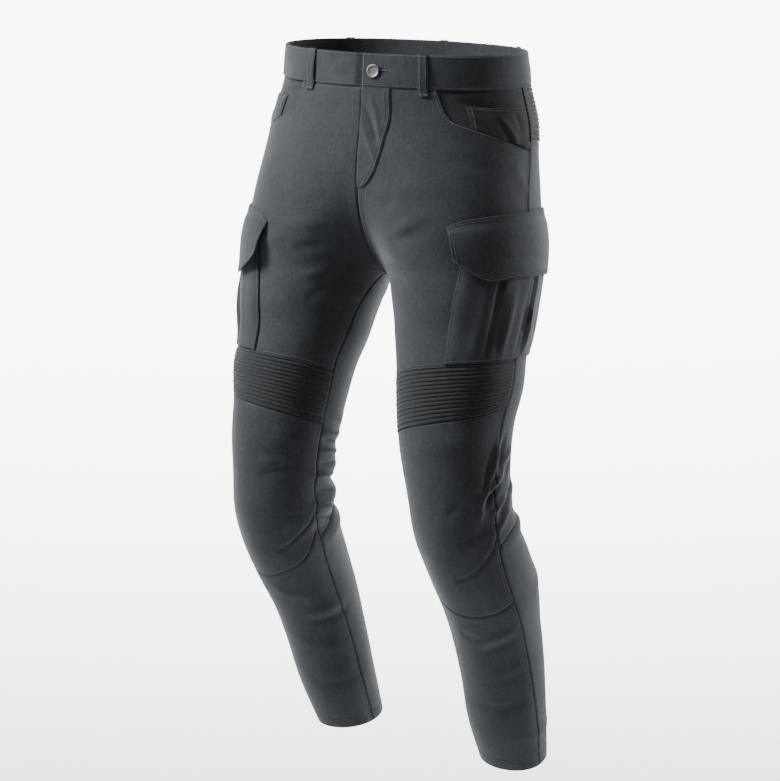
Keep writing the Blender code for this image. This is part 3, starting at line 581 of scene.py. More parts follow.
LOOP_BACK_LIFT = LOOP_LIFT + ((14, 2.8), (21.5, 2.0), (26, 1.8), (31, 1.8))
LOOP_PLACES = (
    ("loop_front_left", 1, -62.5, LOOP_FRONT_LIFT),
    ("loop_front_right", -1, -62.5, LOOP_FRONT_LIFT),
    ("loop_back_left", 1, 42.0, LOOP_BACK_LIFT),
    ("loop_back_right", -1, 42.0, LOOP_BACK_LIFT),
    ("loop_centre_back", 1, 90.0, LOOP_BACK_LIFT),
)


def steps_of(rows, first, last):
    """Row pairs at even steps between two pairs."""
    first, last = np.array(first, float), np.array(last, float)
    return [tuple(first + (last - first) * k / rows) for k in range(rows + 1)]


def ends(rows):
    return rows[0][1], rows[-1][1]


def rib_profile(count, height):
    """Rounded ribs with narrow valleys, each a little different in height."""
    def lift(grid):
        phase = grid["down"] * count
        uneven = 1 + 0.12 * np.sin(2.3 * np.floor(phase) + 5 * grid["columns"])
        return height * uneven * np.abs(np.sin(math.pi * phase)) ** 0.6 - 0.35
    return lift


def front_edge(drop):
    opening = np.radians(curve(POCKET_OPENING, drop))
    return np.where(drop < POCKET_OPENING[-1][0], opening, outseam(drop))


def constant(degrees):
    return lambda drop: np.radians(degrees) + 0 * drop


def front_panel(side, name, look):
    top = ((0.0, BAND_FOOT), (1.0, BAND_FOOT))
    return panel(name, side, top, RIB_TOP, FRONT_ROWS, FRONT_INNER, front_edge, look, width=170.0)


def rib_panel(side, name, look):
    rows = steps_of(RIB_COUNT * 6, ends(RIB_TOP), ends(RIB_FOOT))
    grid = panel_grid(side, RIB_TOP, RIB_FOOT, rows, FRONT_INNER, outseam, 200.0, edge_rows=(0.0,))
    dip = edge_dip(grid["first"], grid["last"]) * 0.6
    raised = rib_profile(RIB_COUNT, RIB_HEIGHT)(grid) + dip
    return Piece(name, side, grid["share"], grid["drop"], raised, CLOTH + np.maximum(raised, 0), look)


# Knee darts: short seams from the panel's edge, as angles and drops along them.
DARTS = {
    1: ((-29, 596), (-36, 608), (-46, 617), (-58, 626), (-72, 633), (-86, 637)),
    -1: ((-161, 598), (-150, 611), (-138, 620), (-124, 630), (-110, 638)),
}
DART_DEPTH = 1.8
DART_WIDTH = 1.4
DART_FULLNESS = 0.35
KNEE_RADIUS = 70.0


def dart_relief(side, grid):
    """A seam pressed into the knee, with the cloth a little full beside it."""
    turn = grid["share"] * ring_at(grid["drop"])["end"] * KNEE_RADIUS
    gap = np.full(turn.shape, 1e3)
    for (angle, drop), (to_angle, to_drop) in zip(DARTS[side][:-1], DARTS[side][1:]):
        start = np.array([math.radians(angle) * KNEE_RADIUS, drop])
        run = np.array([math.radians(to_angle) * KNEE_RADIUS, to_drop]) - start
        aside, below = turn - start[0], grid["drop"] - start[1]
        part = np.clip((aside * run[0] + below * run[1]) / (run @ run), 0, 1)
        gap = np.minimum(gap, np.hypot(aside - part * run[0], below - part * run[1]))
    return -DART_DEPTH * bell(gap, DART_WIDTH) + DART_FULLNESS * bell(gap - 6, 4)


def knee_panel(side, name, look):
    foot = KNEE_FOOT[side]
    rows = steps_of(8, ends(RIB_FOOT), ends(foot))

    def lift(grid):
        return dart_relief(side, grid)

    return panel(name, side, RIB_FOOT, foot, rows, FRONT_INNER, outseam, look, step=2.2, lift=lift)


def pucker(grid):
    """Small uneven gathers along sewn edges."""
    total = 0.0
    for edge, run in (("first", "drop"), ("last", "drop"), ("top", "first"), ("foot", "first")):
        length = grid[run]
        wave = np.sin(length / 1.9 + 1.7 * np.sin(length / 11.0))
        wave = wave * (0.6 + 0.4 * np.sin(length / 23.0 + 2))
        total = total + PUCKER * wave * bell(grid[edge] - 4.5, 3.5)
    return total


HEM_FOLD = 28.0
HEM_STITCH = 20.0
HEM_PULL = 0.35


def hem_wall(drop):
    """The hem is turned in, so the wall is thicker there."""
    return CLOTH + 1.2 * smooth((drop - (HEM - HEM_FOLD)) / 5)


def shin_panel(side, name, look):
    top, foot = KNEE_FOOT[side], ((0.0, HEM), (1.0, HEM))
    rows = steps_of(12, ends(top), ends(foot))
    return panel(name, side, top, foot, rows, FRONT_INNER, outseam, look,
                 lift=hem_pull, wall=hem_wall, width=170.0)


def hem_pull(grid):
    """The hem stitch draws the cloth in a little, unevenly."""
    wave = 1 + 0.5 * np.sin(grid["first"] / 7.0) + 0.4 * np.sin(grid["first"] / 3.1 + 1)
    return -HEM_PULL * wave * bell(grid["foot"] - HEM_STITCH, 3.5)


def back_panel(side, name, look):
    return panel(name, side, YOKE_FOOT, BACK_FOOT, BACK_ROWS, BACK_INNER, outseam, look, width=230.0)


def calf_panel(side, name, look):
    foot = ((0.0, HEM), (1.0, HEM))
    knee_foot = KNEE_FOOT[side][-1][1]
    middle = (BACK_FOOT[0][1] + 70, knee_foot)
    rows = steps_of(4, ends(BACK_FOOT), middle) + steps_of(10, middle, ends(foot))[1:]
    return panel(name, side, BACK_FOOT, foot, rows, BACK_INNER, outseam, look,
                 lift=hem_pull, wall=hem_wall, width=190.0)


def ribbed_yoke(name, look):
    """One piece over the centre back."""
    halves = []
    top = ((0.0, BAND_FOOT), (1.0, BAND_FOOT))
    rows = steps_of(YOKE_RIB_COUNT * 6, (BAND_FOOT, BAND_FOOT), ends(YOKE_FOOT))
    for sign in (-1, 1):
        grid = panel_grid(sign, top, YOKE_FOOT, rows, BACK_INNER, outseam, 190.0,
                          edge_rows=(0.0,), gap=0.0)
        outer = grid["columns"] > 0.5
        pull = smooth((grid["last"] - 0.3) / 4) * outer + ~outer
        raised = rib_profile(YOKE_RIB_COUNT, YOKE_RIB_HEIGHT)(grid)
        share = grid["share"] + (1 - pull) * 0.002 * outer
        halves.append((np.full(share.shape, float(sign)), share, grid["drop"], raised))
    right, left = halves
    side, share, drop, raised = (np.concatenate([r[:, :0:-1], l], 1) for r, l in zip(right, left))
    return Piece(name, side, share, drop, raised, CLOTH + np.maximum(raised, 0), look)


def facing_lift(columns, drop, degrees):
    """Deep under the front panel, and rising to the side seam where it is clear of the opening's edge."""
    clear = smooth((degrees - curve(POCKET_OPENING, drop) - 1.5) / 7.0)
    in_opening = np.clip((POCKET_OPENING[-1][0] - drop) / 2, 0.0, 1.0)
    rise = np.minimum(smooth((columns - 0.3) / 0.6), clear) * in_opening
    deep = FACING_DEPTH - 1.8 * np.clip((drop - 86) / 14, 0.0, 1.0)
    return deep * (1 - rise) - 0.2 * rise


def facing_front(drop):
    return np.radians(curve(POCKET_OPENING, drop - 7) - FACING_OVERLAP)


def facing_share(drop, angle):
    start = facing_front(drop)
    return np.clip((angle - start) / (outseam(drop) - start), 0.0, 1.0)


def pocket_facing(side, name, look):
    top, foot = ((0.0, BAND_FOOT), (1.0, BAND_FOOT)), ((0.0, FACING_FOOT), (1.0, FACING_FOOT))
    rows = ((BAND_FOOT, BAND_FOOT), (FACING_FOOT, FACING_FOOT))
    grid = panel_grid(side, top, foot, rows, facing_front, outseam, 120.0, step=3.0)
    angle = grid["share"] * ring_at(grid["drop"])["end"]
    raised = facing_lift(facing_share(grid["drop"], angle), grid["drop"], np.degrees(angle))
    raised = raised + edge_dip(grid["last"]) * 0.5
    return Piece(name, side, grid["share"], grid["drop"], raised, FACING_WALL, look)


def coin_pocket(side, name, look):
    """Small pocket on the facing, cut along the opening."""
    opening = np.array(POCKET_OPENING, float)
    columns = np.linspace(0, 1, 33)
    angle = np.radians(COIN_FRONT + (COIN_REAR - COIN_FRONT) * columns)
    foot = np.interp(np.degrees(angle), opening[:, 1], opening[:, 0]) - 1.6
    start = curve(COIN_TOP, columns)
    down = np.concatenate([[0, 0.02, 0.06, 0.1], np.linspace(0.14, 1, 18)])[:, None]
    drop = start + (foot - start) * down
    share = angle / ring_at(drop)["end"]
    columns_below = facing_share(drop, angle + 0 * drop)
    lift = facing_lift(columns_below, drop, np.degrees(angle)) + ON_TOP
    round_edge = 0.45 * bell(drop - start, 0.9) + 0.45 * bell(columns, 0.02)
    wall = COIN_WALL - round_edge
    return Piece(name, side, share, drop, lift + wall, wall, look)


def fly(name, look):
    """The doubled cloth beside the opening, drawn in small puckers by its stitches."""
    top, foot = ((0.0, BAND_FOOT), (1.0, BAND_FOOT)), ((0.0, FLY_FOOT), (1.0, FLY_FOOT))
    rows = ((BAND_FOOT, BAND_FOOT), (FLY_FOOT, FLY_FOOT))

    def edge(drop):
        return np.radians(curve(FLY_EDGE, drop))

    grid = panel_grid(1, top, foot, rows, FRONT_INNER, edge, 40.0, step=2.4)
    wave = np.sin(grid["drop"] / 5.3 + 0.9 * np.sin(grid["drop"] / 13)) * bell(grid["last"] - 9, 9)
    dip = edge_dip(grid["last"], grid["first"], grid["foot"])
    raised = ON_TOP + FLY_WALL + 0.45 * wave + 0.6 * dip
    return Piece(name, 1, grid["share"], grid["drop"], raised, FLY_WALL * 0.85, look)


def cargo_pocket(side, name, look):
    """Thigh pocket with two upright pleats, fastened close to the leg round its edges."""
    top = tuple((share, drop + POCKET_BELOW_FLAP) for share, drop in FLAP_TOP)

    def front(drop):
        return np.radians(curve(POCKET_FRONT, drop))

    rows = (ends(top), ends(POCKET_FOOT))
    rear = constant(POCKET_REAR)
    grid = panel_grid(side, top, POCKET_FOOT, rows, front, rear, 130.0, step=2.6, gap=0.0)
    across = grid["first"] / (grid["first"] + grid["last"])
    full = curve(POCKET_FULLNESS, grid["down"])
    sag = POCKET_SAG * np.sin(grid["down"] * 9 + 6 * across) * full
    raised = ON_TOP + POCKET_BULGE * curve(POCKET_SECTION, across) * full + sag + CLOTH
    raised = np.maximum(raised, ON_TOP + CLOTH)
    return Piece(name, side, grid["share"], grid["drop"], raised, CLOTH, look)


def cargo_flap(side, name, look):
    """Flap sewn on above the pocket, with a cut front corner that stands off the leg."""
    first, last = (constant(angle) for angle in FLAP_EDGES)
    rows = (ends(FLAP_TOP), ends(FLAP_FOOT))
    top = tuple((share, drop - SEAM_GAP / 2) for share, drop in FLAP_TOP)
    foot = tuple((share, drop + SEAM_GAP / 2) for share, drop in FLAP_FOOT)
    grid = panel_grid(side, top, foot, rows, first, last, 130.0, step=2.6, gap=0.0)
    down = grid["down"]
    across = grid["first"] / (grid["first"] + grid["last"])
    flare = FLAP_CORNER_FLARE[side] * np.clip(1 - across / 0.3, 0.0, 1.0) * down ** 2
    near = np.minimum(np.minimum(grid["first"], grid["last"]), grid["foot"])
    soft = 0.5 * bell(near, 1.0)
    quilt = sum(depth * bell(near - place, width) for place, width, depth in FLAP_QUILT)
    raised = curve(FLAP_LIFT, down) + flare + FLAP_WALL - soft + quilt
    return Piece(name, side, grid["share"], grid["drop"], raised, FLAP_WALL - 1.4 * soft, look)


def with_marks(values, marks, clear):
    """Grid values with the marks set in, and without the values too near to one."""
    marks = np.array(marks)
    kept = [value for value in values if np.abs(marks - value).min() > clear]
    return np.sort(np.concatenate([kept, marks]))


def band_grid(side, start):
    """Shares and sides on the waistband at lengths from the centre front, negative past it."""
    edge = np.array(EDGE_STEPS)
    even = np.arange(start + 12, BAND_LENGTH - 10, GRID)
    lengths = np.concatenate([start + edge, even, BAND_LENGTH - SEAM_GAP / 2 - edge[::-1]])
    even = np.arange(-9.6, 10, 3.6)
    rows = np.concatenate([BAND_TOP + edge, even, BAND_FOOT - SEAM_GAP / 2 - edge[::-1]])
    if side > 0:
        lengths = with_marks(lengths, BUTTONHOLE_LENGTHS, 1.2)
        rows = with_marks(rows, BUTTONHOLE_ROWS, 0.7)
    drop = rows[:, None] + 0 * lengths

    def places(total):
        return np.abs(lengths) / BAND_LENGTH * total

    end = ring_at(drop)["end"]
    share, _, _ = shares_between(side, -end, end, drop, places)
    return np.where(lengths < 0, -side, side) + 0 * drop, share, drop, lengths


def between(values, low, high):
    return (values > low) & (values < high)


def band_round(drop, lengths, start):
    """The band is folded over at its top and at its end."""
    near = np.minimum(drop - BAND_TOP, np.abs(lengths - start))
    return 0.8 * bell(near, 0.9) + 0.5 * bell(BAND_FOOT - drop, 1.2)


def waistband_left(name, look):
    """Laps over the other end, and holds the buttonhole."""
    start = SEAM_GAP / 2
    side, share, drop, lengths = band_grid(1, start)
    rounded = band_round(drop, lengths, start)
    rows = drop[:, 0]
    a, b = np.meshgrid((rows[1:] + rows[:-1]) / 2, (lengths[1:] + lengths[:-1]) / 2, indexing="ij")
    eye = between(a, *BUTTONHOLE_ROWS[::3]) & between(b, *BUTTONHOLE_LENGTHS[:2])
    slit = between(a, *BUTTONHOLE_ROWS[1:3]) & between(b, *BUTTONHOLE_LENGTHS[1:])
    wavy = 0.25 * np.sin(lengths / 19) * np.sin(drop / 9)
    raised = BAND_LIFT - rounded + wavy
    wall = BAND_WALL - 1.6 * rounded
    band = Piece(name, side, share, drop, raised, wall, look, kept=~(eye | slit))
    band.lengths, band.rows = lengths, rows
    return band


def waistband_right(name, look):
    """Dips under the other end at the centre front."""
    side, share, drop, lengths = band_grid(-1, BAND_UNDERLAP_END)
    rounded = band_round(drop, lengths, BAND_UNDERLAP_END)
    rise = np.clip((lengths - 3) / 6, 0.0, 1.0)
    lift = UNDERLAP_LIFT + (BAND_LIFT - UNDERLAP_LIFT) * smooth(rise)
    wavy = 0.25 * np.sin(lengths / 17 + 1) * np.sin(drop / 9) * rise
    return Piece(name, side, share, drop, lift - rounded + wavy, BAND_WALL - 1.6 * rounded, look)


def moved_along(side, share, drop, length):
    """The share a length in mm further round the ring."""
    ring, step = ring_at(drop), 0.05
    span = form_point(side, share + step, ring) - form_point(side, share - step, ring)
    return share + length * 2 * step / np.linalg.norm(span, axis=-1)


def belt_loop(name, side, angle, profile, look):
    """Doubled strip over the waistband, stitched along both sides."""
    across = np.array(LOOP_COLUMNS)
    rows = np.concatenate([[LOOP_TOP, -21.5, -20.6], np.arange(-19, 28, 2.0), [28.6, 29.6, 30.5, 31]])
    drop = rows[:, None] + 0 * across
    sides = side + 0 * drop
    share = np.ones_like(drop) if angle >= 90.0 else np.radians(angle) / ring_at(drop)["end"]
    share = moved_along(sides, share, drop, across)
    at_sides = 0.5 * bell(LOOP_WIDTH / 2 - np.abs(across), 0.6)
    fold = at_sides + 0.4 * bell(rows[:, None] - LOOP_TOP, 0.7)
    welt = 0.25 * bell(np.abs(across) - 2.4, 1.2)
    raised = curve(profile, drop) + LOOP_WALL - fold + welt
    return Piece(name, sides, share, drop, raised, LOOP_WALL - fold, look)


def button(name, look):
    """Turned button with a plain dished face, its shank through the buttonhole."""
    drop = np.array([[BUTTON_DROP]])
    end = ring_at(drop)["end"]

    def places(total):
        return total * BUTTON_FROM_FRONT / BAND_LENGTH

    share, _, _ = shares_between(1, -end, end, drop, places)
    point, normal, _ = form_frame(1, share, drop)
    centre, normal = point[0, 0], normal[0, 0]
    right = np.cross([0.0, 0.0, 1.0], normal)
    right = right / np.linalg.norm(right)
    up = np.cross(normal, right)
    count = 72
    turns = np.arange(count) * 2 * math.pi / count
    spokes = np.cos(turns)[:, None] * right + np.sin(turns)[:, None] * up
    rings = [centre + normal * h + max(r, 0.01) * spokes for r, h in BUTTON_PROFILE]
    points = np.concatenate(rings)
    k = np.arange(count)
    after = (k + 1) % count
    faces = []
    for n in range(len(rings) - 1):
        a, b = n * count + k, n * count + after
        faces += np.stack([a, a + count, b + count, b], -1).tolist()
    faces.append(k.tolist())
    faces.append(((len(rings) - 1) * count + k[::-1]).tolist())
    obj = mesh_object(name + "_turned", points, faces)
    obj.data.materials.append(look)
    obj.data.set_sharp_from_angle(angle=math.radians(50))
    return obj


# Sewing. Each thread group is one mesh of short stitches, with ends that go down into the cloth.
STITCH_PITCH = 3.3
STITCH_LENGTH = 2.5
THREAD_RADIUS = 0.36
STITCH_STATIONS = ((-0.5, 0.45, -0.35), (-0.3, 1.0, 0.12), (0.3, 1.0, 0.12), (0.5, 0.45, -0.35))
STITCH_SIDES = 5
TACK_PITCH = 0.55
TACK_RADIUS = 0.26
INNER, OUTER = 2, 4


class Sewing:
    """Stitches that are gathered row by row and become one mesh."""

    def __init__(self, name):
        self.name = name
        self.rows = []

    def run(self, points, normals, pitch=STITCH_PITCH, length=STITCH_LENGTH):
        """Stitches along a line of points."""
        steps = np.linalg.norm(np.diff(points, axis=0), axis=1)
        run = np.concatenate([[0.0], np.cumsum(steps)])
        count = int(run[-1] / pitch)
        if count < 1:
            return
        middle = pitch * (0.5 + np.arange(count))
        middle = middle + 0.12 * np.sin(middle * 3.7)

        def at(distance):
            return np.stack([np.interp(distance, run, points[:, k]) for k in range(3)], -1)

        ahead, behind = at(middle + length / 2), at(middle - length / 2)
        normal = np.stack([np.interp(middle, run, normals[:, k]) for k in range(3)], -1)
        self.add((ahead + behind) / 2, ahead - behind, normal, length, THREAD_RADIUS)

    def add(self, centre, along, normal, length, radius):
        """Stitches at these centres, each lying along its own direction."""
        along = along / np.maximum(np.linalg.norm(along, axis=1, keepdims=True), 1e-9)
        across = np.cross(normal, along)
        across = across / np.maximum(np.linalg.norm(across, axis=1, keepdims=True), 1e-9)
        up = np.cross(along, across)
        self.rows.append((centre, along * length, across * radius, up * radius))

    def link(self, look):
        turns = np.arange(STITCH_SIDES) * 2 * math.pi / STITCH_SIDES
        centre, along, across, up = (np.concatenate(part) for part in zip(*self.rows))
        rings = []
        for place, wide, rise in STITCH_STATIONS:
            for turn in turns:
                offset = wide * (math.cos(turn) * across + math.sin(turn) * up)
                rings.append(centre + along * place + offset + up * (0.55 + rise / THREAD_RADIUS))
        points = np.stack(rings, 1)
        size = points.shape[1]
        base = (np.arange(len(centre)) * size)[:, None]
        faces = []
        for ring in range(len(STITCH_STATIONS) - 1):
            for k in range(STITCH_SIDES):
                a = ring * STITCH_SIDES + k
                b = ring * STITCH_SIDES + (k + 1) % STITCH_SIDES
                faces += (base + np.array([a, b, b + STITCH_SIDES, a + STITCH_SIDES])).tolist()
        last = size - STITCH_SIDES
        faces += (base + np.arange(STITCH_SIDES)[::-1]).tolist()
        faces += (base + last + np.arange(STITCH_SIDES)).tolist()
        obj = mesh_object(self.name, points.reshape(-1, 3), faces)
        obj.data.materials.append(look)
        return obj


def sew_edges(sewing, piece, edges):
    for edge, lines in edges.items():
        for index in lines:
            points, normals = piece.line(edge, index)
            sewing.run(points, normals)


def nearest_row(piece, distance):
    """Grid row that lies this far above the foot."""
    middle = piece.outer[::-1, piece.outer.shape[1] // 2]
    lengths = np.linalg.norm(np.diff(middle, axis=0), axis=1)
    return int(np.argmin(np.abs(np.cumsum(lengths) - distance))) + 1


EDGE_SEWING = {
    "front": {"foot": (INNER, OUTER), "last": (INNER, OUTER)},
    "rib_panel": {},
    "knee": {"top": (INNER,), "last": (INNER, OUTER)},
    "shin": {"first": (INNER,), "last": (INNER,)},
    "back": {"top": (INNER, OUTER)},
    "calf": {"top": (INNER, OUTER)},
    "pocket_facing": {},
    "coin_pocket": {"top": (1, 3), "first": (2,)},
    "cargo_pocket": {"first": (INNER,), "last": (INNER,), "foot": (INNER,)},
    "cargo_flap": {edge: (INNER, OUTER) for edge in ("first", "last", "foot", "top")},
    "fly": {"last": (INNER, 5)},
    "waistband": {"top": (INNER,), "foot": (INNER,), "first": (INNER,)},
}


def sew_piece(sewing, piece, kind):
    sew_edges(sewing, piece, EDGE_SEWING[kind])
    if kind in ("shin", "calf"):
        sewing.run(*piece.line("foot", nearest_row(piece, HEM_STITCH)))


def sew_crotch(sewing, piece):
    """Double stitches down the crotch seam, on the wearer's left in front and behind."""
    for index in (INNER, OUTER):
        points, normals = piece.line("first", index)
        down = points[:, 2] > -CROTCH - 14
        sewing.run(points[down], normals[down])


def bar_tack(sewing, centre, normal, along, length=9.0, wide=2.0):
    """Close zigzag stitches across a strain point."""
    along = along / np.linalg.norm(along)
    across = np.cross(normal, along)
    places = np.arange(-length / 2, length / 2, TACK_PITCH)
    centres = centre + places[:, None] * along
    turn = np.where(np.arange(len(places)) % 2, 1, -1)[:, None]
    slant = across[None] + 0.2 * along[None] * turn
    sewing.add(centres, slant, np.repeat(normal[None], len(places), 0), wide, TACK_RADIUS)


def sew_opening_tacks(sewing, piece):
    """Bar tacks at both ends of the hip pocket's opening."""
    down = piece.outer[:, -1]
    row = int(np.argmin(np.abs(down[:, 2] + POCKET_OPENING[-1][0])))
    for place in (3, row):
        point, normal = piece.outer[place, -4], piece.normal[place, -4]
        bar_tack(sewing, point, normal, piece.outer[place + 1, -4] - point, 7.0, 2.4)


def sew_loop(sewing, piece):
    for index in (3, 7):
        sewing.run(piece.outer[:, index], piece.normal[:, index], pitch=2.8, length=2.1)
    for row in (3, -4):
        points = piece.outer[row]
        middle = len(points) // 2
        normal = piece.normal[row, middle]
        bar_tack(sewing, points[middle] + 0.1 * normal, normal, points[-1] - points[0], 10.5, 2.2)


def sew_pocket_tacks(sewing, pocket):
    """A small triangle of stitches at the pocket's lower corners."""
    for column in (6, -7):
        side = INNER if column > 0 else -1 - INNER
        places = [pocket.outer[-7, column], pocket.outer[-1 - INNER, column], pocket.outer[-7, side]]
        for start, end in ((0, 1), (0, 2), (1, 2)):
            points = np.linspace(places[start], places[end], 8)
            sewing.run(points, np.repeat(pocket.normal[-7, column][None], 8, 0), pitch=2.4, length=1.9)


def sew_buttonhole(sewing, band):
    """Close stitches square to the hole's edge."""
    outer, normal = band.outer, band.normal
    lengths, rows = band.lengths, band.rows
    corners = []
    for length, drop in BUTTONHOLE_PATH:
        j = np.interp(length, lengths, np.arange(len(lengths)))
        i = np.interp(drop, rows, np.arange(len(rows)))
        corners.append((grid_at(outer, i, j), grid_at(normal, i, j)))
    for (a, n), (b, _) in zip(corners[:-1], corners[1:]):
        span = np.linalg.norm(b - a)
        count = max(1, int(span / 0.6))
        centres = a + (b - a) * ((np.arange(count) + 0.5) / count)[:, None]
        across = np.cross(n, (b - a) / span)
        sewing.add(centres, np.repeat(across[None], count, 0), np.repeat(n[None], count, 0), 2.0, 0.27)


def grid_at(grid, i, j):
    """Value between the points of a grid."""
    a, b = int(min(i, len(grid) - 2)), int(min(j, grid.shape[1] - 2))
    u, v = i - a, j - b
    return (grid[a, b] * (1 - u) * (1 - v) + grid[a + 1, b] * u * (1 - v)
            + grid[a, b + 1] * (1 - u) * v + grid[a + 1, b + 1] * u * v)


# Materials.
def new_material(name, roughness, metal=0.0):
    material = bpy.data.materials.new(name)
    material.use_nodes = True
    nodes, links = material.node_tree.nodes, material.node_tree.links
    shader = nodes["Principled BSDF"]
    shader.inputs["Roughness"].default_value = roughness
    shader.inputs["Metallic"].default_value = metal
    return material, nodes, links, shader


def noise(nodes, links, vector, scale, detail=3.0, roughness=0.55):
    node = nodes.new("ShaderNodeTexNoise")
    node.inputs["Scale"].default_value = scale
    node.inputs["Detail"].default_value = detail
    node.inputs["Roughness"].default_value = roughness
    links.new(vector, node.inputs["Vector"])
    return node.outputs["Fac"]


def mapped(nodes, links, vector, scale, turn=0.0):
    node = nodes.new("ShaderNodeMapping")
    node.inputs["Scale"].default_value = scale
    node.inputs["Rotation"].default_value = (0, 0, turn)
    links.new(vector, node.inputs["Vector"])
    return node.outputs["Vector"]


def blend(nodes, links, factor, low, high, span=(0.0, 1.0)):
    node = nodes.new("ShaderNodeValToRGB")
    node.color_ramp.elements[0].position, node.color_ramp.elements[1].position = span
    node.color_ramp.elements[0].color = (*low, 1)
    node.color_ramp.elements[1].color = (*high, 1)
    links.new(factor, node.inputs["Fac"])
    return node.outputs["Color"]


def maths(nodes, links, operation, a, b):
    """A maths node. Each of its inputs is a number or another node's output."""
    node = nodes.new("ShaderNodeMath")
    node.operation = operation
    for socket, value in zip(node.inputs, (a, b)):
        if isinstance(value, (int, float)):
            socket.default_value = value
        else:
            links.new(value, socket)
    return node.outputs["Value"]


WAVE_SCALE = 0.314
TWILL_ANGLE = 63


def cloth_look(name, base, sheen, weave, roughness=0.85, grain=1.0, bump=0.5):
    """Cloth with a diagonal twill line, uneven yarn and a soft nap.

    Weave is the pitch of the line in metres.
    """
    material, nodes, links, shader = new_material(name, roughness)
    uv = nodes.new("ShaderNodeTexCoord").outputs["UV"]
    place = nodes.new("ShaderNodeTexCoord").outputs["Object"]
    line = nodes.new("ShaderNodeTexWave")
    line.bands_direction = "X"
    line.inputs["Scale"].default_value = WAVE_SCALE / weave
    line.inputs["Distortion"].default_value = 0.6
    line.inputs["Detail Scale"].default_value = 2.0
    links.new(mapped(nodes, links, uv, (1, 1, 1), math.radians(TWILL_ANGLE)), line.inputs["Vector"])
    yarn = noise(nodes, links, mapped(nodes, links, uv, (1, 0.22, 1)), 1400.0 * grain, 2.0)
    cloud = noise(nodes, links, place, 22.0, 4.0)
    patches = noise(nodes, links, place, 190.0, 5.0, 0.7)
    streaks = noise(nodes, links, mapped(nodes, links, uv, (1, 0.07, 1)), 420.0, 3.0, 0.7)
    parts = ((yarn, 0.3), (cloud, 0.2), (patches, 0.25), (streaks, 0.25))
    tone = maths(nodes, links, "MULTIPLY", *parts[0])
    for part, weight in parts[1:]:
        tone = maths(nodes, links, "ADD", tone, maths(nodes, links, "MULTIPLY", part, weight))
    low, high = (tuple(c * k for c in base) for k in (0.45, 1.6))
    links.new(blend(nodes, links, tone, low, high, (0.33, 0.67)), shader.inputs["Base Color"])
    shader.inputs["Sheen Weight"].default_value = sheen
    shader.inputs["Sheen Roughness"].default_value = 0.45
    shader.inputs["Sheen Tint"].default_value = (0.72, 0.78, 0.86, 1)
    shader.inputs["Specular IOR Level"].default_value = 0.25
    height = maths(nodes, links, "ADD", line.outputs["Fac"], maths(nodes, links, "MULTIPLY", yarn, 0.8))
    relief_node = nodes.new("ShaderNodeBump")
    relief_node.inputs["Strength"].default_value = bump
    relief_node.inputs["Distance"].default_value = 0.00025
    links.new(height, relief_node.inputs["Height"])
    soft = nodes.new("ShaderNodeBump")
    soft.inputs["Strength"].default_value = 0.35
    soft.inputs["Distance"].default_value = 0.0012
    links.new(patches, soft.inputs["Height"])
    links.new(relief_node.outputs["Normal"], soft.inputs["Normal"])
    links.new(soft.outputs["Normal"], shader.inputs["Normal"])
    return material


def metal_look():
    """Grey metal, worn unevenly."""
    material, nodes, links, shader = new_material("button_metal_look", 0.42, 0.85)
    place = nodes.new("ShaderNodeTexCoord").outputs["Object"]
    worn = noise(nodes, links, place, 900.0, 4.0)
    dark, light = (0.07, 0.072, 0.075), (0.17, 0.172, 0.178)
    colour = blend(nodes, links, worn, dark, light, (0.35, 0.65))
    links.new(colour, shader.inputs["Base Color"])
    rough = maths(nodes, links, "ADD", maths(nodes, links, "MULTIPLY", worn, 0.3), 0.3)
    links.new(rough, shader.inputs["Roughness"])
    return material


def plain_look(name, colour, roughness=0.9):
    material, _, _, shader = new_material(name, roughness)
    shader.inputs["Base Color"].default_value = (*colour, 1)
    shader.inputs["Specular IOR Level"].default_value = 0.2
    return material


TWILL = cloth_look("twill_look", (0.0225, 0.0257, 0.0305), 0.25, 0.0009)
# Darker copy of the twill: painted shade for the recessed pocket facing and coin pocket.
SHADED = cloth_look("facing_painted_shade_look", (0.0185, 0.0207, 0.0242), 0.15, 0.0009)
RIBBED = cloth_look("ribbed_look", (0.014, 0.015, 0.017), 0.25, 0.0006, grain=1.3)
THREAD = cloth_look("thread_look", (0.075, 0.082, 0.091), 0.25, 0.0004, roughness=0.7)
METAL = metal_look()


# Pieces.
def declare(piece, node):
    """Hides the solid that a cloth piece stands for, and hangs the piece from the root."""
    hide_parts(node)
    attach(piece.object, "root")


def build_side(side, end):
    """All pieces of one leg, with their sewing."""
    makers = (
        ("front", front_panel, TWILL), ("rib_panel", rib_panel, RIBBED), ("knee", knee_panel, TWILL),
        ("shin", shin_panel, TWILL), ("back", back_panel, TWILL), ("calf", calf_panel, TWILL),
        ("pocket_facing", pocket_facing, SHADED), ("coin_pocket", coin_pocket, SHADED),
        ("cargo_pocket", cargo_pocket, TWILL), ("cargo_flap", cargo_flap, TWILL),
    )
    sewing = Sewing("topstitching" + end)
    pieces = {}
    for kind, make, look in makers:
        piece = pieces[kind] = make(side, kind + end, look)
        declare(piece, kind + end)
        sew_piece(sewing, piece, kind)
    if side > 0:
        sew_crotch(sewing, pieces["front"])
        sew_crotch(sewing, pieces["back"])
    sew_pocket_tacks(sewing, pieces["cargo_pocket"])
    sew_opening_tacks(sewing, pieces["front"])
    threads = sewing.link(THREAD)
    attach(threads, "root")


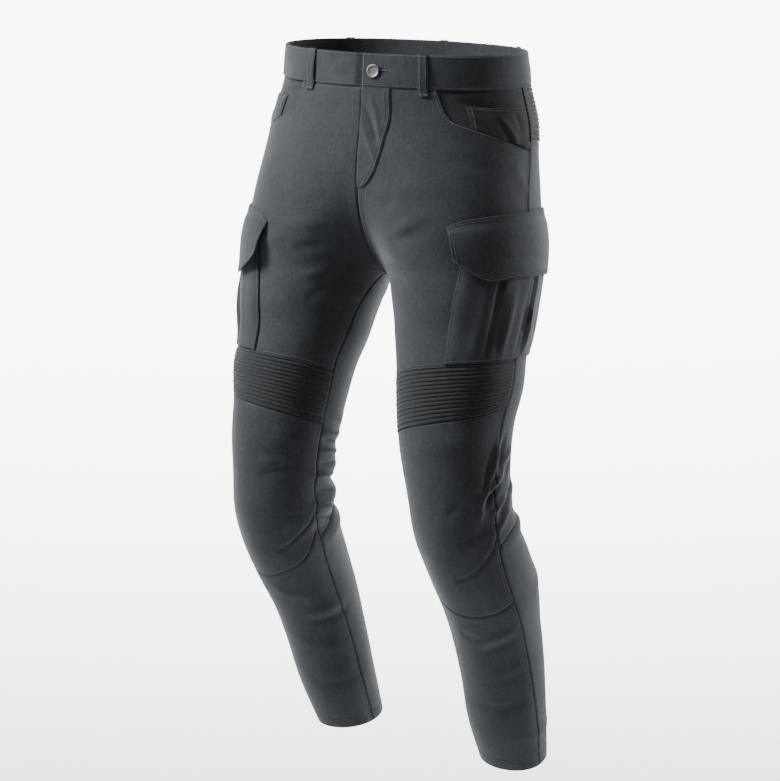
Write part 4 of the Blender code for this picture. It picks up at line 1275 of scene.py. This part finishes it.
def build_waist():
    """The yoke, fly, waistband, belt loops and button."""
    sewing = Sewing("topstitching_waist")
    yoke = ribbed_yoke("back_yoke", RIBBED)
    declare(yoke, "back_yoke")
    flap = fly("fly", TWILL)
    declare(flap, "fly")
    sew_piece(sewing, flap, "fly")
    for make, name in ((waistband_left, "waistband_left"), (waistband_right, "waistband_right")):
        band = make(name, TWILL)
        declare(band, name)
        sew_piece(sewing, band, "waistband")
        if name == "waistband_left":
            sew_buttonhole(sewing, band)
    for name, side, angle, profile in LOOP_PLACES:
        loop = belt_loop(name, side, angle, profile, TWILL)
        declare(loop, name)
        sew_loop(sewing, loop)
    threads = sewing.link(THREAD)
    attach(threads, "root")
    turned = button("button", METAL)
    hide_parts("button")
    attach(turned, "root")


# Camera, light and floor.
CAMERA_PLACE = (1.0441, -2.0794, -0.1102)
CAMERA_AIM = (-0.0061, -0.0331, -0.4366)
CAMERA_LENS = 79.34
WORLD_STRENGTH = 0.15


def turned_to(obj, place, aim):
    obj.location = place
    obj.rotation_euler = (Vector(aim) - Vector(place)).to_track_quat("-Z", "Y").to_euler()


def add_camera():
    data = bpy.data.cameras.new("photo_camera")
    data.lens = CAMERA_LENS
    data.sensor_width = 36.0
    camera = bpy.data.objects.new("photo_camera", data)
    bpy.context.scene.collection.objects.link(camera)
    turned_to(camera, CAMERA_PLACE, CAMERA_AIM)
    bpy.context.scene.camera = camera


def add_light(name, place, aim, size, power):
    data = bpy.data.lights.new(name, "AREA")
    data.shape = "RECTANGLE"
    data.size, data.size_y = size
    data.energy = power
    light = bpy.data.objects.new(name, data)
    bpy.context.scene.collection.objects.link(light)
    turned_to(light, place, aim)


# Lights: place across the view, behind and up, size and power in watts.
LIGHTS_AIM = (0.0, 0.0, -0.48)
LIGHTS = (
    ("left_side", (-1.7, -0.35, 1.6), (0.7, 1.0), 131.0),
    ("right_side", (1.9, 0.7, 0.6), (0.7, 1.4), 50.0),
    ("front_top", (-0.5, -1.2, 1.9), (0.8, 0.8), 9.0),
)


def camera_axes():
    """Level directions away from the camera and across its view."""
    back = np.array(CAMERA_AIM) - np.array(CAMERA_PLACE)
    back[2] = 0.0
    back = back / np.linalg.norm(back)
    return back, np.array([back[1], -back[0], 0.0])


def add_lights():
    centre = np.array(LIGHTS_AIM)
    back, right = camera_axes()
    for name, (across, behind, up), size, power in LIGHTS:
        place = centre + right * across + back * behind + np.array([0, 0, up])
        add_light(name, tuple(place), tuple(centre), size, power)


# Sweep: distance behind the trousers, height and glow strength, which is painted light.
FLOOR_LEVEL = -1.35
SWEEP = (
    (-5.0, 0.0, 0.0), (0.6, 0.0, 0.0), (1.0, 0.0, 1.7), (1.6, 0.02, 3.0), (2.3, 0.25, 5.5),
    (2.7, 0.7, 7.5), (2.9, 1.3, 8.0), (3.0, 2.4, 8.0), (3.0, 3.2, 8.0),
)
SWEEP_WIDTH = 2.2
FLOOR_REACH = 9.0
PAPER = (0.6, 0.6, 0.6)


def sweep_look():
    """White paper that glows: painted light, none on the near floor and strongest on the wall, which also
    lights the trousers from behind.
    """
    material, nodes, links, shader = new_material("sweep_look", 1.0)
    shader.inputs["Base Color"].default_value = (*PAPER, 1)
    shader.inputs["Emission Color"].default_value = (1, 1, 1, 1)
    uv = nodes.new("ShaderNodeTexCoord").outputs["UV"]
    split = nodes.new("ShaderNodeSeparateXYZ")
    links.new(uv, split.inputs["Vector"])
    # The glow strength is the UV's second number: painted light, brighter toward the wall.
    links.new(split.outputs["Y"], shader.inputs["Emission Strength"])
    return material


def add_surroundings():
    """A pale floor that curves up into a white wall behind the trousers."""
    world = bpy.data.worlds.new("studio")
    world.use_nodes = True
    background = world.node_tree.nodes["Background"]
    background.inputs["Color"].default_value = (1, 1, 1, 1)
    background.inputs["Strength"].default_value = WORLD_STRENGTH
    bpy.context.scene.world = world
    back, right = camera_axes()
    points, uvs = [], []
    for behind, height, light in SWEEP:
        for across in (-SWEEP_WIDTH, SWEEP_WIDTH):
            points.append((right * across + back * behind + [0, 0, FLOOR_LEVEL + height]) / MM)
            uvs.append((across / MM, light / MM))
    faces = [[2 * n, 2 * n + 1, 2 * n + 3, 2 * n + 2] for n in range(len(SWEEP) - 1)]
    sweep = mesh_object("floor_sweep", np.array(points), faces, np.array(uvs))
    sweep.data.materials.append(sweep_look())
    corners = np.array([[-1, -1, 0], [1, -1, 0], [1, 1, 0], [-1, 1, 0]]) * FLOOR_REACH
    corners = corners + [0, 0, FLOOR_LEVEL - 0.002]
    floor = mesh_object("floor", corners / MM, [[0, 1, 2, 3]])
    floor.data.materials.append(plain_look("floor_look", PAPER))


build_side(1, "_left")
build_side(-1, "_right")
build_waist()
add_camera()
add_lights()
add_surroundings()
